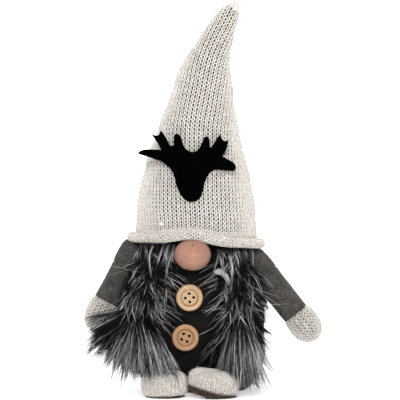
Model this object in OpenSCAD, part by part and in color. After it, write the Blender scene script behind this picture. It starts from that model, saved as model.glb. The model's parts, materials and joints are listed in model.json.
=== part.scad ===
// Tomte gnome figurine: a stuffed felt body on a weighted base, with a knitted hat,
// two tied locks of fur for hair, a ball nose, jointed arms with knitted mittens and stuffed feet.
// Millimetres. +Z is up, the figure faces -Y, and the origin is the centre of the base on the table.
// Left and right are as seen from the front.

/* [Body] */
// Width of the felt body at its fullest
body_w = 105; // [101:1:106]
// Depth of the felt body, front to back
body_d = 88; // [84:1:89]
// Thickness of the felt
felt_t = 2; // [1.5:0.1:2.4]
// Height of the pellet bag in the base
weight_h = 24; // [16:1:30]

/* [Hat] */
// Radius of the hat at the ears, across the figure
hat_r = 45.5; // [45.2:0.1:47]
// Depth of the hat as a share of its width
hat_depth = 0.9; // [0.88:0.01:1]
// Thickness of the knitted fabric
knit_t = 2.4; // [1.8:0.1:2.6]
// How far the tip leans over, in degrees
hat_lean = 34; // [20:1:40]
// Radius of the curve that the hat leans along
lean_r = 184; // [175:1:192]

/* [Arms] */
// Radius of a stuffed sleeve
arm_r = 10.5; // [9.5:0.1:10.6]
// Length of the left sleeve from its shoulder to the mitten
left_sleeve_l = 41; // [38:1:44]
// Length of the right sleeve from its shoulder to the mitten
right_sleeve_l = 49; // [46:1:52]
// Length of a mitten
mitten_l = 23; // [20:1:26]
// How far the left arm hangs out from the body, in degrees
left_arm_hang = 29.5; // [28:0.5:36]
// How far the right arm hangs out from the body, in degrees
right_arm_hang = 39.5; // [38:0.5:45]

/* [Nose and buttons] */
// Width of the ball nose
nose_w = 26.8; // [24:0.2:27.4]
// Diameter of a wooden button
button_d = 20; // [18:0.5:22]
// Thickness of a button at its rim
button_t = 4; // [3:0.5:5]
// Diameter of a thread hole in a button
button_hole_d = 2.2; // [1.8:0.1:2.6]

/* [Feet] */
// Height of a stuffed foot
foot_h = 16.4; // [15.6:0.1:16.5]
// Length of a foot in front of its seam
foot_l = 23; // [18:1:25]
// How far the right foot turns out, in degrees
right_foot_turn = 12; // [0:1:14]
// Thickness of the plush sole
sole_t = 2.4; // [1.4:0.1:2.4]

/* [Hidden] */

// Room between a cover and what fills it.
slip = 0.2;
// Sides of the large and of the small soft pieces.
many = 36;
few = 20;

// Body outline, from the base up: height, share of half the width, share of half the depth.
body_rows = [
    [0, 0.70, 0.72], [4, 0.79, 0.80], [9, 0.86, 0.865], [15, 0.93, 0.935], [21, 0.98, 0.98],
    [28, 1, 1], [48, 1, 1], [66, 0.98, 0.985], [75, 0.92, 0.96], [80, 0.835, 0.93],
    [84, 0.755, 0.89], [88, 0.68, 0.83], [93, 0.62, 0.75], [100, 0.61, 0.66], [108, 0.62, 0.64],
    [115, 0.68, 0.70], [122, 0.765, 0.79], [130, 0.805, 0.83], [138, 0.805, 0.83],
    [146, 0.765, 0.79], [154, 0.68, 0.70], [161, 0.53, 0.55], [166, 0.28, 0.30], [168, 0.06, 0.06]
];
body_top = 168;

// Hat: distance up the middle from the brim, and radius as a share of hat_r.
hat_base = 110;
straight = 83.6;
hat_share = [
    [0, 1.105], [3, 1.12], [7, 1.09], [12, 1.015], [16, 1], [27.5, 1], [40, 0.95], [52, 0.897],
    [64.5, 0.83], [76.5, 0.75], [89, 0.664], [101, 0.596], [113.5, 0.522], [125.5, 0.475],
    [138, 0.40], [150, 0.305], [163.5, 0.252], [175.5, 0.20], [184, 0.15], [189, 0.10], [192, 0.03]
];
hat_l = straight + lean_r * hat_lean * PI / 180;
// Where the tip bends, and where the cone's fabric ends below that.
bend_at = 131.5;
cone_end = 123.5;
brim_tilt = 3.4;
brim_arch = 6;
arch_x = -4;
arch_w = 16;

// Middle of each sleeve's round head, which it turns about.
left_shoulder = [-49, 0, 102];
right_shoulder = [46.5, 0, 95];
thread_r = 2.5;
mitten_wall = 1.8;

// Locks: height, middle across, middle front to back, half width, half thickness.
left_lock_rows = [
    [106, -30, -37, 11, 6], [97, -32, -39.5, 14.5, 7.5], [85, -36.5, -40, 16, 8],
    [74, -40, -39, 12, 7], [68, -42, -36, 7, 5.4], [65.4, -42.6, -35, 4.2, 4.2],
    [61.2, -42.7, -35, 4.2, 4.2]
];
right_lock_rows = [
    [101.5, 25.5, -38.5, 11.5, 6], [95, 28, -40.5, 14.3, 7.5], [85, 32, -42, 14.5, 8],
    [74, 34.5, -43, 11.5, 7], [68.5, 33.4, -42.4, 6.6, 5.4], [66.6, 33, -42, 4.2, 4.2],
    [62.4, 33, -42, 4.2, 4.2]
];
left_tie_at = [-42.7, -35, 63.3];
right_tie_at = [33, -42, 64.5];
tie_r = 5.7;
cord_r = 1.2;
// Tufts of loose fur under the ties: as the locks, but each is turned to follow the belly.
left_tuft_rows = [
    [61, -42.7, -35, 4.2, 4.2], [58, -43.2, -36.5, 9, 5.5], [53, -46, -38, 19, 7.5],
    [47, -50, -39, 28, 8.5], [41, -52, -39.5, 32, 8.5], [35, -50, -40, 30, 8],
    [29, -45, -42, 22, 7], [24.5, -39, -44, 14, 5], [21.8, -35, -45.5, 7, 3]
];
right_tuft_rows = [
    [62.2, 33, -42, 4.2, 4.2], [59, 33, -43.5, 9, 5.5], [52, 32, -45, 17, 7],
    [44, 30.5, -46, 24, 8], [36, 29.5, -46.5, 27.5, 8], [29, 30, -46.5, 25.5, 7.5],
    [24, 33.5, -45.5, 17, 6], [21, 37, -44.5, 9, 4]
];
left_tuft_turn = -20;
right_tuft_turn = 22;

// Feet: middle of the round heel, half width.
left_heel = [-22.5, -50.6, 10.7];
right_heel = [14.5, -51.1, 10.7];
left_foot_hw = 16.7;
right_foot_hw = 17.4;
// Foot outline: share of its length forward of the heel's middle, and share of its size there.
foot_rows = [[0, 1], [0.35, 0.985], [0.62, 0.9], [0.82, 0.72], [0.95, 0.45], [1, 0.2]];

nose_at = [-2.6, -43.4, 104.4];
nose_flat = 0.84;
upper_button_at = [-4.8, 72.4];
lower_button_at = [-7.8, 43];
// How far each button is turned, how far its top leans back, and how full the body is behind it.
upper_button_lie = [4, 7, 0.972];
lower_button_lie = [24, 0, 1];

// Moose head outline from the muzzle up to the top, one side and then the other: across and up.
moose_right = [
    [0, 0], [4.5, 2], [7, 6], [8.7, 12.5], [10.5, 18], [13.5, 23], [18, 25], [25.5, 24], [31.5, 24],
    [32.8, 27], [31, 30], [22.3, 35], [25.5, 40], [27.5, 48], [25, 46.5], [22.8, 48], [21, 51.5],
    [17.5, 47], [15, 42], [13.3, 42], [13.2, 48], [11.5, 50], [9, 49], [7, 44], [4.5, 40]
];
moose_left = [
    [0, 38], [-4.5, 40.5], [-6.8, 44.5], [-8.4, 50], [-11, 52], [-13.6, 50.5], [-13.8, 43], [-16.5, 43.5],
    [-20, 50.5], [-23.4, 55], [-25, 51.5], [-30.5, 52.5], [-25.5, 45], [-23, 39.7], [-33.5, 40],
    [-40.5, 37.5], [-28.5, 33], [-21.5, 30.3], [-16.5, 26], [-13.8, 21.5], [-11.8, 14], [-9.5, 8],
    [-6.5, 3.2], [-3, 0.6]
];
moose_at = [-3, -41.5, 143.2];
moose_lean = 13;
moose_t = 2;

charcoal = [0.25, 0.24, 0.23];
cream = [0.86, 0.82, 0.77];
fibre = [0.93, 0.93, 0.91];
fur = [0.16, 0.16, 0.17];
plush_brown = [0.17, 0.11, 0.08];
birch = [0.84, 0.66, 0.46];
skin_tone = [0.84, 0.62, 0.53];

// ---- Points and skins ----

// A ring of n points about c, along the unit directions u and v.
function hoop(c, u, v, ru, rv, n) =
    [for (i = [0:n - 1]) c + ru * cos(360 * i / n) * u + rv * sin(360 * i / n) * v];
function flat_hoop(c, rx, ry, n) = hoop(c, [1, 0, 0], [0, 1, 0], rx, ry, n);
function reversed(list) = [for (i = [len(list) - 1:-1:0]) list[i]];

// Closed surface over a chain of rings. Its two ends are filled, or joined if loop is true.
// The chain runs with its outside to the left; flip is for a chain that runs the other way.
module skin(rings, loop = false, flip = false) {
    chain = flip ? [for (r = rings) reversed(r)] : rings;
    n = len(rings[0]);
    m = len(rings);
    last = (m - 1) * n;
    sides = [
        for (j = [0:m - (loop ? 1 : 2)], i = [0:n - 1])
            let (k = (j + 1) % m, h = (i + 1) % n)
            each [[j * n + i, k * n + i, j * n + h], [j * n + h, k * n + i, k * n + h]]
    ];
    // An end is filled with strips from one side of its ring to the other.
    near = [
        for (i = [0:n / 2 - 2])
            each [[i, i + 1, n - 1 - i], [i + 1, n - 2 - i, n - 1 - i]]
    ];
    far = [for (f = near) [last + f[2], last + f[1], last + f[0]]];
    polyhedron([for (r = chain) each r], concat(sides, loop ? [] : concat(near, far)));
}

// A cover that is open at its first ring: along its inside to the lip, and back along its outside.
module sock(outer, inner, flip = false) {
    skin(concat(reversed(inner), outer), flip = flip);
}

// ---- Body and base ----

// Rings of the body, a distance in from the felt's outside, between two heights.
function body_rings(inset, low, high) = [
    for (row = body_rows) if (row[0] >= low && row[0] <= high)
        flat_hoop([0, 0, row[0]], max(row[1] * body_w / 2 - inset, 0.8),
            max(row[2] * body_d / 2 - inset, 0.8), many)
];

module body_sack() {
    color(charcoal)
    sock(body_rings(0, 0, body_top), concat(
        body_rings(felt_t, 0, 161),
        [flat_hoop([0, 0, 165.4], 8, 7, many), flat_hoop([0, 0, 165.8], 2, 2, many)]));
}

module base_panel() {
    // The panel closes the sack's open foot, inside its lip.
    rx = body_rows[0][1] * body_w / 2 - felt_t - slip;
    ry = body_rows[0][2] * body_d / 2 - felt_t - slip;
    color(charcoal)
    linear_extrude(1.5) polygon([for (p = flat_hoop([0, 0, 0], rx, ry, many)) [p.x, p.y]]);
}

module base_board() {
    rx = body_rows[0][1] * body_w / 2 - felt_t - 1;
    ry = body_rows[0][2] * body_d / 2 - felt_t - 1;
    color("tan")
    translate([0, 0, 1.5])
    linear_extrude(2) polygon([for (p = flat_hoop([0, 0, 0], rx, ry, many)) [p.x, p.y]]);
}

// Rings of the pellet bag from the bottom up, a distance in from its outside.
function bag_rings(inset) = [
    for (row = [[0, 0.66], [0.1, 0.73], [0.4, 0.83], [0.8, 0.86], [1, 0.70]])
        flat_hoop([0, 0, 3.6 + inset + row[0] * (weight_h - 2 * inset)],
            row[1] * body_w / 2 - inset, row[1] * body_d / 2 - inset, few)
];

// A cloth bag, gathered to a small open neck in the middle of its top.
module weight_bag() {
    neck = 3;
    cloth = 0.8;
    outer = concat(bag_rings(0), [flat_hoop([0, 0, 3.6 + weight_h], neck + cloth, neck + cloth, few)]);
    inner = concat(bag_rings(cloth), [flat_hoop([0, 0, 3.6 + weight_h - 0.1], neck, neck, few)]);
    color("ivory")
    sock(reversed(outer), reversed(inner), flip = true);
}

module weight_pellets() {
    color("white")
    skin(bag_rings(1));
}

module body_stuffing() {
    color(fibre)
    skin(concat(
        [flat_hoop([0, 0, 3.8 + weight_h], 0.9 * body_w / 2, 0.9 * body_d / 2, many)],
        body_rings(felt_t + slip, 3.9 + weight_h, 154),
        [flat_hoop([0, 0, 160.5], 20, 17, many), flat_hoop([0, 0, 163.5], 5, 4, many)]));
}

// ---- Hat ----

// The hat's middle line: straight up, then a round lean towards +X.
function lean(t) = max(0, t - straight) / lean_r * 180 / PI;
function hat_mid(t) = [
    lean_r * (1 - cos(lean(t))), 0,
    hat_base + min(t, straight) + lean_r * sin(lean(t))
];
function hat_radius(t) = hat_r * lookup(t, hat_share);

// A ring across the hat at a distance up its middle. drop moves it back down the middle line.
function hat_ring(t, r, drop = 0) =
    let (a = lean(t), up = [sin(a), 0, cos(a)])
    hoop(hat_mid(t) - drop * up, [cos(a), 0, -sin(a)], [0, 1, 0], r, r * hat_depth, many);

// How much lower than the middle the brim's edge is at a point: it tilts, and arches over the nose.
function brim_z(p) =
    let (s = (p.x - arch_x) / arch_w)
    -brim_tilt * p.x / 49 + (p.y < 0 ? brim_arch * exp(-s * s) : 0);

// A ring of the hat with its height following the brim, less and less further up.
function brim_ring(t, r) = [
    for (p = hat_ring(t, r)) [p.x, p.y, p.z + brim_z(p) * max(0, 1 - t / 16)]
];

function cone_rings(inset) = concat(
    [for (row = hat_share) if (row[0] < cone_end - 1) brim_ring(row[0], hat_radius(row[0]) - inset)],
    [hat_ring(cone_end, hat_radius(cone_end) - inset)]);

module hat_cone() {
    color(cream)
    skin(concat(cone_rings(0), reversed(cone_rings(knit_t))), loop = true);
}

// Rings of a ball about the bend, at angles below it.
function ball_rings(r, angles) = [
    for (a = angles) hat_ring(bend_at, r * cos(a), r * sin(a))
];

// The cone's filling ends in a hollow that the ball of the tip turns in.
module hat_cone_stuffing() {
    hollow = hat_radius(bend_at) + 0.6;
    low_at = body_top + 1.6 - hat_base;
    inset = knit_t + slip;
    sides = [
        for (t = [low_at, 64.5, 76.5, 89, 101, 113.5, cone_end - 0.8])
            hat_ring(t, hat_radius(t) - inset)
    ];
    color(fibre)
    skin(concat(sides, ball_rings(hollow, [40, 50, 60, 70, 80, 88])));
}

// Rings of the tip above the bend, up to its point.
function tip_rings(inset) = [
    for (row = hat_share) if (row[0] > bend_at && row[0] < hat_l - inset)
        hat_ring(row[0], max(hat_radius(row[0]) - inset, 0.6))
];

module hat_tip() {
    r = hat_radius(bend_at);
    angles = [38, 28, 18, 8, 0];
    color(cream)
    sock(concat(ball_rings(r, angles), tip_rings(0)),
        concat(ball_rings(r - knit_t, angles), tip_rings(knit_t)));
}

module hat_tip_stuffing() {
    inset = knit_t + slip;
    r = hat_radius(bend_at) - inset;
    color(fibre)
    skin(concat(ball_rings(r, [86, 75, 62, 50, 38, 28, 18, 8, 0]), tip_rings(inset)));
}

module moose_applique() {
    color("black")
    translate(moose_at) rotate([90 - moose_lean, 0, 0])
    linear_extrude(moose_t) polygon(concat(moose_right, moose_left));
}

// ---- Nose and buttons ----

// Rings of the nose from its gathered back to its front.
function nose_rings(inset) = [
    for (a = [-78, -60, -40, -20, 0, 20, 40, 60, 78])
        let (r = nose_w / 2 - inset)
        hoop(nose_at + [0, -sin(a) * (r - 1.2), 0], [1, 0, 0], [0, 0, 1],
            r * cos(a), r * nose_flat * cos(a), 24)
];

module nose_cover() {
    color(skin_tone)
    sock(nose_rings(0), nose_rings(1.2));
}

module nose_stuffing() {
    color(fibre)
    skin(nose_rings(1.2 + slip));
}

// How far forward the body's felt is at a place across it, at its fullest.
function belly(x) = -body_d / 2 * sqrt(max(0, 1 - pow(2 * x / body_w, 2)));

// A turned wooden button: a rounded rim, a dished middle and four thread holes.
module button(turn) {
    r = button_d / 2;
    dish_r = r * 0.66;
    web_t = button_t * 0.55;
    rim = [
        [0, 0], [r - 0.8, 0], [r, 0.9], [r, button_t - 1.4], [r - 0.5, button_t - 0.4],
        [r - 1.4, button_t], [dish_r + 0.9, button_t - 0.2], [dish_r, button_t - 0.7],
        [dish_r - 1.2, web_t], [0, web_t]
    ];
    difference() {
        rotate_extrude($fn = 64) polygon(rim);
        for (a = [0:90:270]) rotate(a + turn) translate([r * 0.31, 0, -1])
            cylinder(d = button_hole_d, h = button_t + 2, $fn = 24);
    }
}

module placed_button(at, lie) {
    color(birch)
    translate([at.x, belly(at.x) * lie[2] - 1, at.y]) rotate([90 - lie[1], 0, 0]) button(lie[0]);
}

module upper_button() {
    placed_button(upper_button_at, upper_button_lie);
}

module lower_button() {
    placed_button(lower_button_at, lower_button_lie);
}

// ---- Arms ----

// A ring across an arm that hangs out at an angle, side 1 to the right and -1 to the left.
function arm_ring(at, side, hang, s, r) = hoop(
    at + s * [side * sin(hang), 0, -cos(hang)],
    [side * cos(hang), 0, sin(hang)], [0, 1, 0], r, r, few);
// Rings along an arm from rows of distance from its shoulder and share of its radius.
function arm_rings(at, side, hang, rows) = [
    for (row = rows) arm_ring(at, side, hang, row[0], row[1] * arm_r)
];
// The same rows for the inside of a wall.
function thinner(rows, wall) = [for (row = rows) [row[0], max(row[1] - wall / arm_r, 0.03)]];
// Mitten rows for the inside of a wall, whose finger end is also drawn back.
function shorter(rows, wall) = [
    for (row = thinner(rows, wall)) [row[0] - (row[0] > rows[0][0] + 1 ? wall : 0), row[1]]
];
// The round head of a sleeve: place along the arm and share of its radius, by angle.
function head_rows(r) = [for (a = [80, 65, 50, 35, 18, 0]) [-r * sin(a), cos(a) * r / arm_r]];
// A sleeve of that length, and the mitten that follows it.
function sleeve_rows(l) = [[12, 1], [l * 0.6, 1], [l - 1, 0.98], [l, 0.97]];
function mitten_rows(l) = [
    [l + 0.2, 0.99], [l + mitten_l * 0.3, 1.05], [l + mitten_l * 0.6, 1],
    [l + mitten_l * 0.82, 0.78], [l + mitten_l * 0.95, 0.46], [l + mitten_l, 0.16]
];

module sleeve(at, side, hang, l) {
    wall = 1.6;
    outer = arm_rings(at, side, hang, concat(head_rows(arm_r), sleeve_rows(l)));
    inner = arm_rings(at, side, hang, concat(head_rows(arm_r - wall), thinner(sleeve_rows(l), wall)));
    color(charcoal)
    skin(concat(inner, reversed(outer)), flip = side > 0);
}

module mitten(at, side, hang, l) {
    outer = arm_rings(at, side, hang, mitten_rows(l));
    inner = arm_rings(at, side, hang, shorter(mitten_rows(l), mitten_wall));
    color(cream)
    skin(concat(reversed(inner), outer), flip = side > 0);
}

module arm_stuffing(at, side, hang, l) {
    wall = mitten_wall + slip;
    rows = concat(head_rows(arm_r - wall), thinner(sleeve_rows(l), wall), shorter(mitten_rows(l), wall));
    color(fibre)
    skin(arm_rings(at, side, hang, rows), flip = side > 0);
}

// The stitches that hold a sleeve's head to the body: a short bundle of thread.
module shoulder_thread(at, side) {
    outer = abs(at.x) - arm_r - 0.4;
    inner = lookup(at.z - thread_r, [for (row = body_rows) [row[0], row[1]]]) * body_w / 2 + 0.5;
    color("dimgray")
    translate([side * inner, 0, at.z]) rotate([0, side * 90, 0])
    cylinder(r = thread_r, h = outer - inner, $fn = 32);
}

module left_sleeve() { sleeve(left_shoulder, -1, left_arm_hang, left_sleeve_l); }
module left_arm_stuffing() { arm_stuffing(left_shoulder, -1, left_arm_hang, left_sleeve_l); }
module left_mitten() { mitten(left_shoulder, -1, left_arm_hang, left_sleeve_l); }
module left_shoulder_thread() { shoulder_thread(left_shoulder, -1); }
module right_sleeve() { sleeve(right_shoulder, 1, right_arm_hang, right_sleeve_l); }
module right_arm_stuffing() { arm_stuffing(right_shoulder, 1, right_arm_hang, right_sleeve_l); }
module right_mitten() { mitten(right_shoulder, 1, right_arm_hang, right_sleeve_l); }
module right_shoulder_thread() { shoulder_thread(right_shoulder, 1); }

// ---- Hair ----

// The upper part of a lock, from its round root under the brim to the tie.
module lock(rows) {
    root = rows[0];
    top = [
        for (a = [75, 50, 25])
            let (rise = root[4] * sin(a))
            flat_hoop([root[1], root[2], root[0] + rise], root[3] * cos(a), root[4] * cos(a), few)
    ];
    rings = [for (row = rows) flat_hoop([row[1], row[2], row[0]], row[3], row[4], few)];
    color(fur)
    skin(reversed(concat(top, rings)));
}

module tie(at) {
    color("black")
    translate([at.x, at.y, at.z]) rotate_extrude($fn = 40) translate([tie_r, 0]) circle(cord_r, $fn = 20);
}

// The loose fur under a tie, which spreads over the front of the body.
module tuft(rows, turn) {
    u = [cos(turn), sin(turn), 0];
    v = [-sin(turn), cos(turn), 0];
    color(fur)
    skin(reversed([for (row = rows) hoop([row[1], row[2], row[0]], u, v, row[3], row[4], 32)]));
}

module left_lock() { lock(left_lock_rows); }
module left_tie() { tie(left_tie_at); }
module left_tuft() { tuft(left_tuft_rows, left_tuft_turn); }
module right_lock() { lock(right_lock_rows); }
module right_tie() { tie(right_tie_at); }
module right_tuft() { tuft(right_tuft_rows, right_tuft_turn); }

// ---- Feet ----

// Rings of a foot from its round heel to the toe, with the heel's middle at the origin.
function foot_rings(hw, inset) =
    let (h = foot_h / 2 - inset, w = hw - inset)
    concat(
        [for (a = [78, 60, 40, 20])
            hoop([0, h * sin(a), 0], [1, 0, 0], [0, 0, 1], w * cos(a), h * cos(a), few)],
        [for (row = foot_rows)
            hoop([0, -row[0] * (foot_l - inset), (row[1] - 1) * h * 0.85], [1, 0, 0], [0, 0, 1],
                w * row[1], h * row[1], few)]);

module foot_place(heel, turn) {
    translate(heel) rotate(turn) children();
}

module foot_cover(heel, turn, hw) {
    color(cream)
    foot_place(heel, turn) sock(foot_rings(hw, 0), foot_rings(hw, 1.6));
}

module foot_stuffing(heel, turn, hw) {
    color(fibre)
    foot_place(heel, turn) skin(foot_rings(hw, 1.6 + slip));
}

// A flat plush sole under the foot, down to the table.
module sole(heel, turn, hw) {
    long = foot_l / 2 + 3;
    outline = flat_hoop([0, -foot_l / 2 + 1, 0], hw - 2.5, long, 32);
    color(plush_brown)
    translate([heel.x, heel.y, 0]) rotate(turn)
    linear_extrude(sole_t) polygon([for (p = outline) [p.x, p.y]]);
}

module left_foot_cover() { foot_cover(left_heel, 0, left_foot_hw); }
module left_foot_stuffing() { foot_stuffing(left_heel, 0, left_foot_hw); }
module left_sole() { sole(left_heel, 0, left_foot_hw); }
module right_foot_cover() { foot_cover(right_heel, right_foot_turn, right_foot_hw); }
module right_foot_stuffing() { foot_stuffing(right_heel, right_foot_turn, right_foot_hw); }
module right_sole() { sole(right_heel, right_foot_turn, right_foot_hw); }

body_sack();
base_panel();
base_board();
weight_bag();
weight_pellets();
body_stuffing();
hat_cone();
hat_cone_stuffing();
hat_tip();
hat_tip_stuffing();
moose_applique();
nose_cover();
nose_stuffing();
upper_button();
lower_button();
left_sleeve();
left_arm_stuffing();
left_mitten();
left_shoulder_thread();
right_sleeve();
right_arm_stuffing();
right_mitten();
right_shoulder_thread();
left_lock();
left_tie();
left_tuft();
right_lock();
right_tie();
right_tuft();
left_foot_cover();
left_foot_stuffing();
left_sole();
right_foot_cover();
right_foot_stuffing();
right_sole();
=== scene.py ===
"""The looks of a stuffed tomte gnome figurine, built around its CAD frame.

Lengths in the tables below are millimetres, as in the CAD source; MM turns them into metres.
Pieces are generated with numpy: knitted yarn, felt covers with loose fibres, and locks of long fur.
"""

import json
import math

import bmesh
import bpy
import numpy as np
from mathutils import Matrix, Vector


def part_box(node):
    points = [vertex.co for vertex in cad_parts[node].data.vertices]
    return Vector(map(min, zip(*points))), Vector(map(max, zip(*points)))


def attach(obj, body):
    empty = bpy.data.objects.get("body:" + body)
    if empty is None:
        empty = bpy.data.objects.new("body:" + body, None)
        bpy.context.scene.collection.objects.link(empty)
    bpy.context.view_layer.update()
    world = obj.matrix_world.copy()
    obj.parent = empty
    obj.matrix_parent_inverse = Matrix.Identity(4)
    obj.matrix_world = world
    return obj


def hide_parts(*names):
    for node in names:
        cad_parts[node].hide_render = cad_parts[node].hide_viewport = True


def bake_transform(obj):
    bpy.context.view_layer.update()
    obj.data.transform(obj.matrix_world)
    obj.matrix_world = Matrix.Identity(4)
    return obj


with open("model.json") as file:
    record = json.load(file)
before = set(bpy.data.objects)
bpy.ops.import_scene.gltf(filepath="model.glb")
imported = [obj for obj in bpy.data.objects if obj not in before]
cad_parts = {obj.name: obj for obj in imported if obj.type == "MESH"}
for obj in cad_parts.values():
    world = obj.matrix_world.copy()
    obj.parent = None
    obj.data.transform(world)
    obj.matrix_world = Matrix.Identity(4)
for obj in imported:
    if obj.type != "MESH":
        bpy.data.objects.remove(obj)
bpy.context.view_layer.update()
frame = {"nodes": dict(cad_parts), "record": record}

MM = 0.001
TURN = 2 * math.pi
UP = np.array([0.0, 0.0, 1.0])
SIDES = ("left", "right")


def box_mm(node):
    """The lowest and highest corner of a CAD node, in millimetres."""
    low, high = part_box(node)
    return np.array(low) / MM, np.array(high) / MM


def metres(point):
    return tuple(float(c) * MM for c in point)


def unit(v):
    return v / np.maximum(np.linalg.norm(v, axis=-1, keepdims=True), 1e-9)


# ---------------------------------------------------------------- sizes

BODY_LOW, BODY_HIGH = box_mm("body_sack")
BODY_W, BODY_D = (BODY_HIGH - BODY_LOW)[:2]
FELT_HALF = 0.6
# Height, share of half the width, share of half the depth.
BODY_ROWS = np.array([
    (0, 0.66, 0.68), (4, 0.76, 0.79), (9, 0.835, 0.86), (15, 0.905, 0.93), (21, 0.96, 0.98), (28, 0.995, 1),
    (36, 1, 1), (48, 1, 1), (66, 0.985, 0.985), (75, 0.95, 0.965), (80, 0.905, 0.94), (84, 0.87, 0.90),
    (88, 0.84, 0.85), (93, 0.82, 0.79), (100, 0.82, 0.73), (107, 0.835, 0.72), (114, 0.825, 0.74),
    (122, 0.77, 0.76),
])
# How far the sack's foot is pushed over to the right, and the height where that has faded out.
BASE_SHIFT = 2.6
BASE_SHIFT_TOP = 36.0

# The hat's middle line runs straight up from its base and then leans round a large curve.
HAT_BASE = 110.0
HAT_STRAIGHT = 83.6
HAT_LEAN_R = 184.0
HAT_R = 45.5
HAT_DEPTH = 0.9
HAT_L = 192.0
# The bend of the tip's joint along that line, and how far the knitting gives to each side of it.
HAT_BEND = 131.5
HAT_GIVE = 17.0
# How far the slack knitting sways aside above the moose head, where, and over what length.
HAT_SWAY, SWAY_AT, SWAY_OVER = 2.6, 108.0, 30.0
# Distance up the middle line, share of HAT_R.
HAT_ROWS = np.array([
    (0, 1.03), (8, 1.01), (16, 1), (27.5, 0.995), (40, 0.95), (52, 0.897), (64.5, 0.83), (76.5, 0.75),
    (89, 0.664), (101, 0.596), (113.5, 0.522), (125.5, 0.475), (138, 0.40), (150, 0.305), (163.5, 0.252),
    (175.5, 0.20), (184, 0.155), (189, 0.105), (HAT_L, 0.03),
])


# ---------------------------------------------------------------- forms

def smooth_rows(rows, step=0.5, spread=4.0):
    """A table of rows made dense and smooth, kept exact at both ends."""
    s = np.arange(rows[0, 0], rows[-1, 0] + step / 2, step)
    out = [s]
    half = int(3 * spread / step)
    kernel = np.exp(-0.5 * (np.arange(-half, half + 1) * step / spread) ** 2)
    kernel /= kernel.sum()
    for column in rows.T[1:]:
        v = np.interp(s, rows[:, 0], column)
        left = 2 * v[0] - v[1:half + 1][::-1]
        right = 2 * v[-1] - v[-half - 1:-1][::-1]
        out.append(np.convolve(np.concatenate([left, v, right]), kernel, mode="valid"))
    return np.column_stack(out)


class Tube:
    """A soft round form: rings along a middle line. s runs along it and angle 0 faces the front."""

    def __init__(self, s, centre, axis, side, front, side_r, front_r, lump=0.0, seed=0):
        self.s = s
        self.data = np.column_stack([centre, axis, side, front, side_r, front_r])
        self.slope = np.gradient(0.5 * (side_r + front_r), s)
        self.lump = lump
        self.waves = np.random.default_rng(seed).uniform(0, TURN, (5, 2))

    def row(self, s, columns):
        return np.stack([np.interp(s, self.s, self.data[:, c]) for c in columns], axis=-1)

    def bulge(self, s, angle):
        """Slow uneven swelling of a stuffed form, as a share of its radius."""
        total = 0.0
        for i, (a, b) in enumerate(self.waves):
            around = np.sin((i % 3 + 1) * angle + a + (i + 1) * 1.7 * s / 30.0)
            total = total + around * np.cos(s / (9.0 + 4 * i) + b)
        return self.lump * total / 2.5

    def at(self, s, angle, lift=0.0):
        """Points and outward normals at places along and around the form."""
        s, angle = np.broadcast_arrays(s, angle)
        row = self.row(s, range(14))
        centre, axis, side, front = (row[..., c:c + 3] for c in (0, 3, 6, 9))
        swell = 1 + self.bulge(s, angle)
        a, b = row[..., 12] * swell, row[..., 13] * swell
        sin, cos = np.sin(angle), np.cos(angle)
        point = centre + (a * sin)[..., None] * side + (b * cos)[..., None] * front
        normal = (sin / np.maximum(a, 0.2))[..., None] * side + (cos / np.maximum(b, 0.2))[..., None] * front
        normal = unit(unit(normal) - np.interp(s, self.s, self.slope)[..., None] * axis)
        return point + np.asarray(lift)[..., None] * normal, normal

    def radius(self, s):
        return self.row(s, (12, 13)).mean(axis=-1)


def upright_tube(rows, half_w, half_d, **more):
    """A form round a vertical line: rows of height, share of half_w and share of half_d."""
    zero, one = np.zeros(len(rows)), np.ones(len(rows))
    centre, axis, side, front = (np.column_stack(v) for v in (
        (zero, zero, rows[:, 0]), (zero, zero, one), (one, zero, zero), (zero, -one, zero)))
    return Tube(rows[:, 0], centre, axis, side, front, rows[:, 1] * half_w, rows[:, 2] * half_d, **more)


def line_tube(rows, start, direction, side, **more):
    """A form along a straight line: rows of distance, radius and, where it differs, radius in depth."""
    direction, side = unit(np.array(direction, float)), unit(np.array(side, float))
    front = np.cross(direction, side)
    if front[1] > 0:
        front = -front
    centre = np.array(start) + rows[:, :1] * direction
    axis, side, front = (np.ones((len(rows), 1)) * v for v in (direction, side, front))
    return Tube(rows[:, 0], centre, axis, side, front, rows[:, 1], rows[:, -1], **more)


# ---------------------------------------------------------------- meshes

def mesh_object(name, verts_mm, quads, tint=None, uv=None):
    """An object from arrays of points in millimetres and four-cornered faces."""
    verts = np.ascontiguousarray(verts_mm * MM, dtype=np.float32)
    quads = np.ascontiguousarray(quads, dtype=np.int32)
    mesh = bpy.data.meshes.new(name)
    mesh.vertices.add(len(verts))
    mesh.vertices.foreach_set("co", verts.ravel())
    mesh.loops.add(quads.size)
    mesh.loops.foreach_set("vertex_index", quads.ravel())
    mesh.polygons.add(len(quads))
    mesh.polygons.foreach_set("loop_start", np.arange(0, quads.size, quads.shape[1], dtype=np.int32))
    mesh.polygons.foreach_set("use_smooth", np.ones(len(quads), dtype=bool))
    mesh.update(calc_edges=True)
    if tint is not None:
        layer = mesh.attributes.new("tint", "FLOAT", "POINT")
        layer.data.foreach_set("value", np.ascontiguousarray(tint, dtype=np.float32).ravel())
    if uv is not None:
        layer = mesh.uv_layers.new(name="thread")
        layer.data.foreach_set("uv", np.ascontiguousarray(uv, dtype=np.float32).ravel())
    return linked(name, mesh)


def linked(name, data):
    """A new object in the scene."""
    obj = bpy.data.objects.new(name, data)
    bpy.context.scene.collection.objects.link(obj)
    return obj


def circle(across, over, sides):
    """Directions all round a line, from two directions across it."""
    turn = np.arange(sides)[:, None] * TURN / sides
    return np.cos(turn) * across[..., None, :] + np.sin(turn) * over[..., None, :]


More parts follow.
